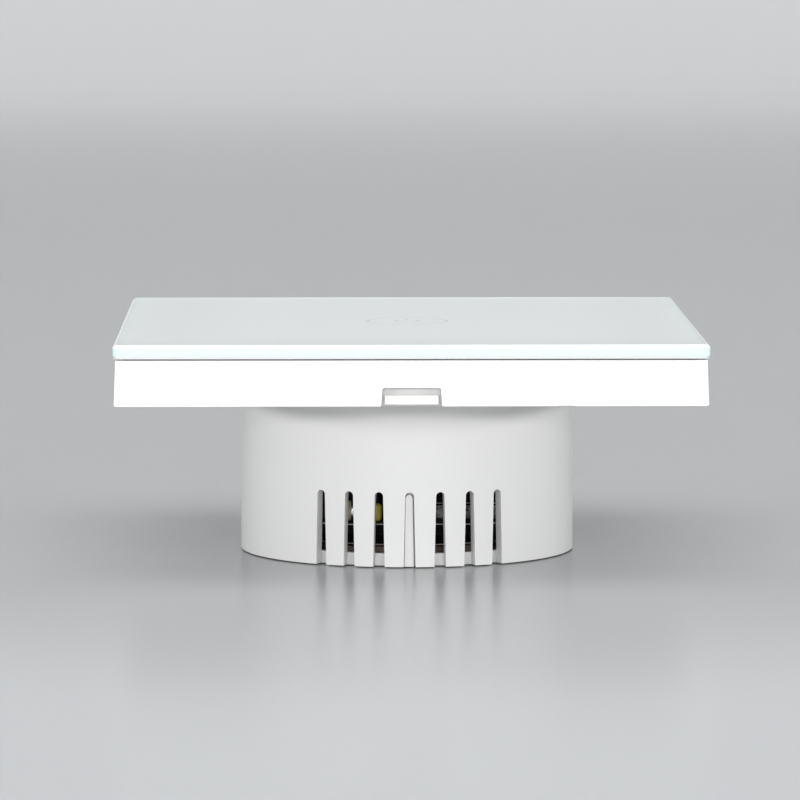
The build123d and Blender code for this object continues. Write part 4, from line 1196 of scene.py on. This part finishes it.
winding_yellow = (0.8, 0.6, 0.15)
varistor_blue = (0.03, 0.1, 0.35)
fuse_cream = (0.65, 0.58, 0.4)
film_plastic = grained("dark film case", film_dark, roughness=0.3, shine=0.12)
dip_lacquer = grained(
    "yellow dipped lacquer", dip_yellow, roughness=0.25, depth=0.03 * mm, fine=1500.0
)
ferrite = grained("grey ferrite", ferrite_grey, roughness=0.45, variation=0.2)
winding_tape = grained("yellow winding tape", winding_yellow, roughness=0.3)
varistor_lacquer = grained("blue lacquer", varistor_blue, roughness=0.35, variation=0.15)
fuse_ceramic = grained("cream ceramic", fuse_cream, roughness=0.4)
for board_node, finish, slot_name, edge in (
    ("film_capacitor", film_plastic, "film_dark", film_edge),
    ("transformer_core", ferrite, "ferrite", core_edge),
    ("transformer_bobbin", winding_tape, "winding_tape", sheet_edge),
    ("varistor", varistor_lacquer, "varistor_blue", lacquer_edge),
):
    moulded_copy(board_node, board_node + "_piece", finish, edge, slot_name)

dip_foot, dip_top, dip_half, dip_centre = plan("dipped_capacitor")
dip_turn = np.linspace(0, math.pi / 2, dip_steps)
dip_inset = dip_round * (1 - np.sin(dip_turn))
dip_rise = dip_round * (1 - np.cos(dip_turn))
dip_lower = points_of(dip_inset, dip_foot + dip_rise)
dip_upper = points_of(dip_inset, dip_top - dip_rise)[::-1]
dip_section = np.concatenate([dip_lower, dip_upper])
dip_rings = outline_rings(dip_half, dip_corner_share * dip_round, dip_section, dip_centre)
stacked(dip_rings, "dipped_block", dip_lacquer, "film_yellow", "base", "dipped_capacitor")

fuse_low, fuse_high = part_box("fuse_resistor")
fuse_half = (fuse_high.x - fuse_low.x) / 2
fuse_radius = (fuse_high.z - fuse_low.z) / 2
fuse_lie = Matrix.Translation((fuse_low + fuse_high) / 2) @ Matrix.Rotation(math.pi / 2, 4, "Y")
body_end = fuse_half - fuse_cap_wall
fuse_section = [(fuse_bore, -body_end), (fuse_body_radius, -body_end)]
fuse_section += [(radius, -height) for radius, height in fuse_section[::-1]]
fuse_rings = turned_rings(fuse_section, steps=fuse_body_steps)
fuse_place = ("fuse_ceramic", "base", "fuse_resistor")
stacked(fuse_rings, "fuse_body", fuse_ceramic, *fuse_place).data.transform(fuse_lie)
cap_section = [(fuse_bore, 0), (fuse_radius, 0)]
for groove in range(fuse_grooves):
    groove_at = (groove + 1) * fuse_cap_length / (fuse_grooves + 1)
    cap_section += [
        (fuse_radius, groove_at - fuse_groove),
        (fuse_radius - fuse_groove_depth, groove_at),
        (fuse_radius, groove_at + fuse_groove),
    ]
cap_foot_radius = fuse_body_radius - fuse_cap_edge
cap_section += [(fuse_radius, fuse_cap_length), (cap_foot_radius, fuse_cap_length)]
cap_rings = turned_rings(eased(cap_section, fuse_cap_edge), steps=fuse_cap_steps)
for side in (-1, 1):
    half_turn = Matrix.Rotation(math.pi / 2 * (1 + side), 4, "X")
    fuse_cap = stacked(cap_rings, "fuse_cap", tinned, "zinc_steel")
    fuse_cap.data.transform(fuse_lie @ half_turn @ Matrix.Translation((0, 0, -fuse_half)))

can_foot, can_top, (can_radius, _), can_centre = plan("electrolytic_capacitor")
stripe_half_width = 1.1 * mm
can_foot_share = 0.4
can_heel_share = 0.95
can_neck_share = 0.9
can_bare_share = 0.8
can_hub_share = 0.3
can_step = 0.4 * mm
can_groove = 1.0 * mm
can_rim = 0.3 * mm
can_sunk = 0.2 * mm
can_edge = 0.25 * mm
can_steps = 64


def sleeve_colour(tree):
    """The sleeve is dark, with one pale stripe down the side that faces -Y, and the can's bare top
    shows inside its rim."""
    x, y, z = object_axes(tree)
    off_x = maths(tree, "SUBTRACT", x, can_centre[0])
    off_y = maths(tree, "SUBTRACT", y, can_centre[1])
    near_stripe = maths(tree, "LESS_THAN", maths(tree, "ABSOLUTE", off_x), stripe_half_width)
    stripe = maths(tree, "MULTIPLY", near_stripe, maths(tree, "LESS_THAN", off_y, 0.0))
    sleeve = mixed(tree, stripe, sleeve_dark, sleeve_stripe)
    within = maths(tree, "LESS_THAN", from_axis(tree, off_x, off_y), can_bare_share * can_radius)
    above = maths(tree, "GREATER_THAN", z, can_top - can_step)
    return mixed(tree, maths(tree, "MULTIPLY", within, above), sleeve, can_silver)


can_sleeve = grained("printed sleeve", sleeve_colour, roughness=0.3)
can_profile = eased(
    [
        (can_foot_share * can_radius, can_foot),
        (can_heel_share * can_radius, can_foot),
        (can_radius, can_foot + can_step),
        (can_radius, can_foot + can_groove),
        (can_neck_share * can_radius, can_foot + can_groove + can_step),
        (can_radius, can_foot + can_groove + 2 * can_step),
        (can_radius, can_top - can_rim),
        (can_neck_share * can_radius, can_top),
        (can_bare_share * can_radius, can_top - can_sunk),
        (can_hub_share * can_radius, can_top - can_sunk),
    ],
    can_edge,
)
can_rings = turned_rings(can_profile, can_centre, can_steps)
can_place = ("can_sleeve", "base", "electrolytic_capacitor")
stacked(can_rings, "sleeved_can", can_sleeve, *can_place)
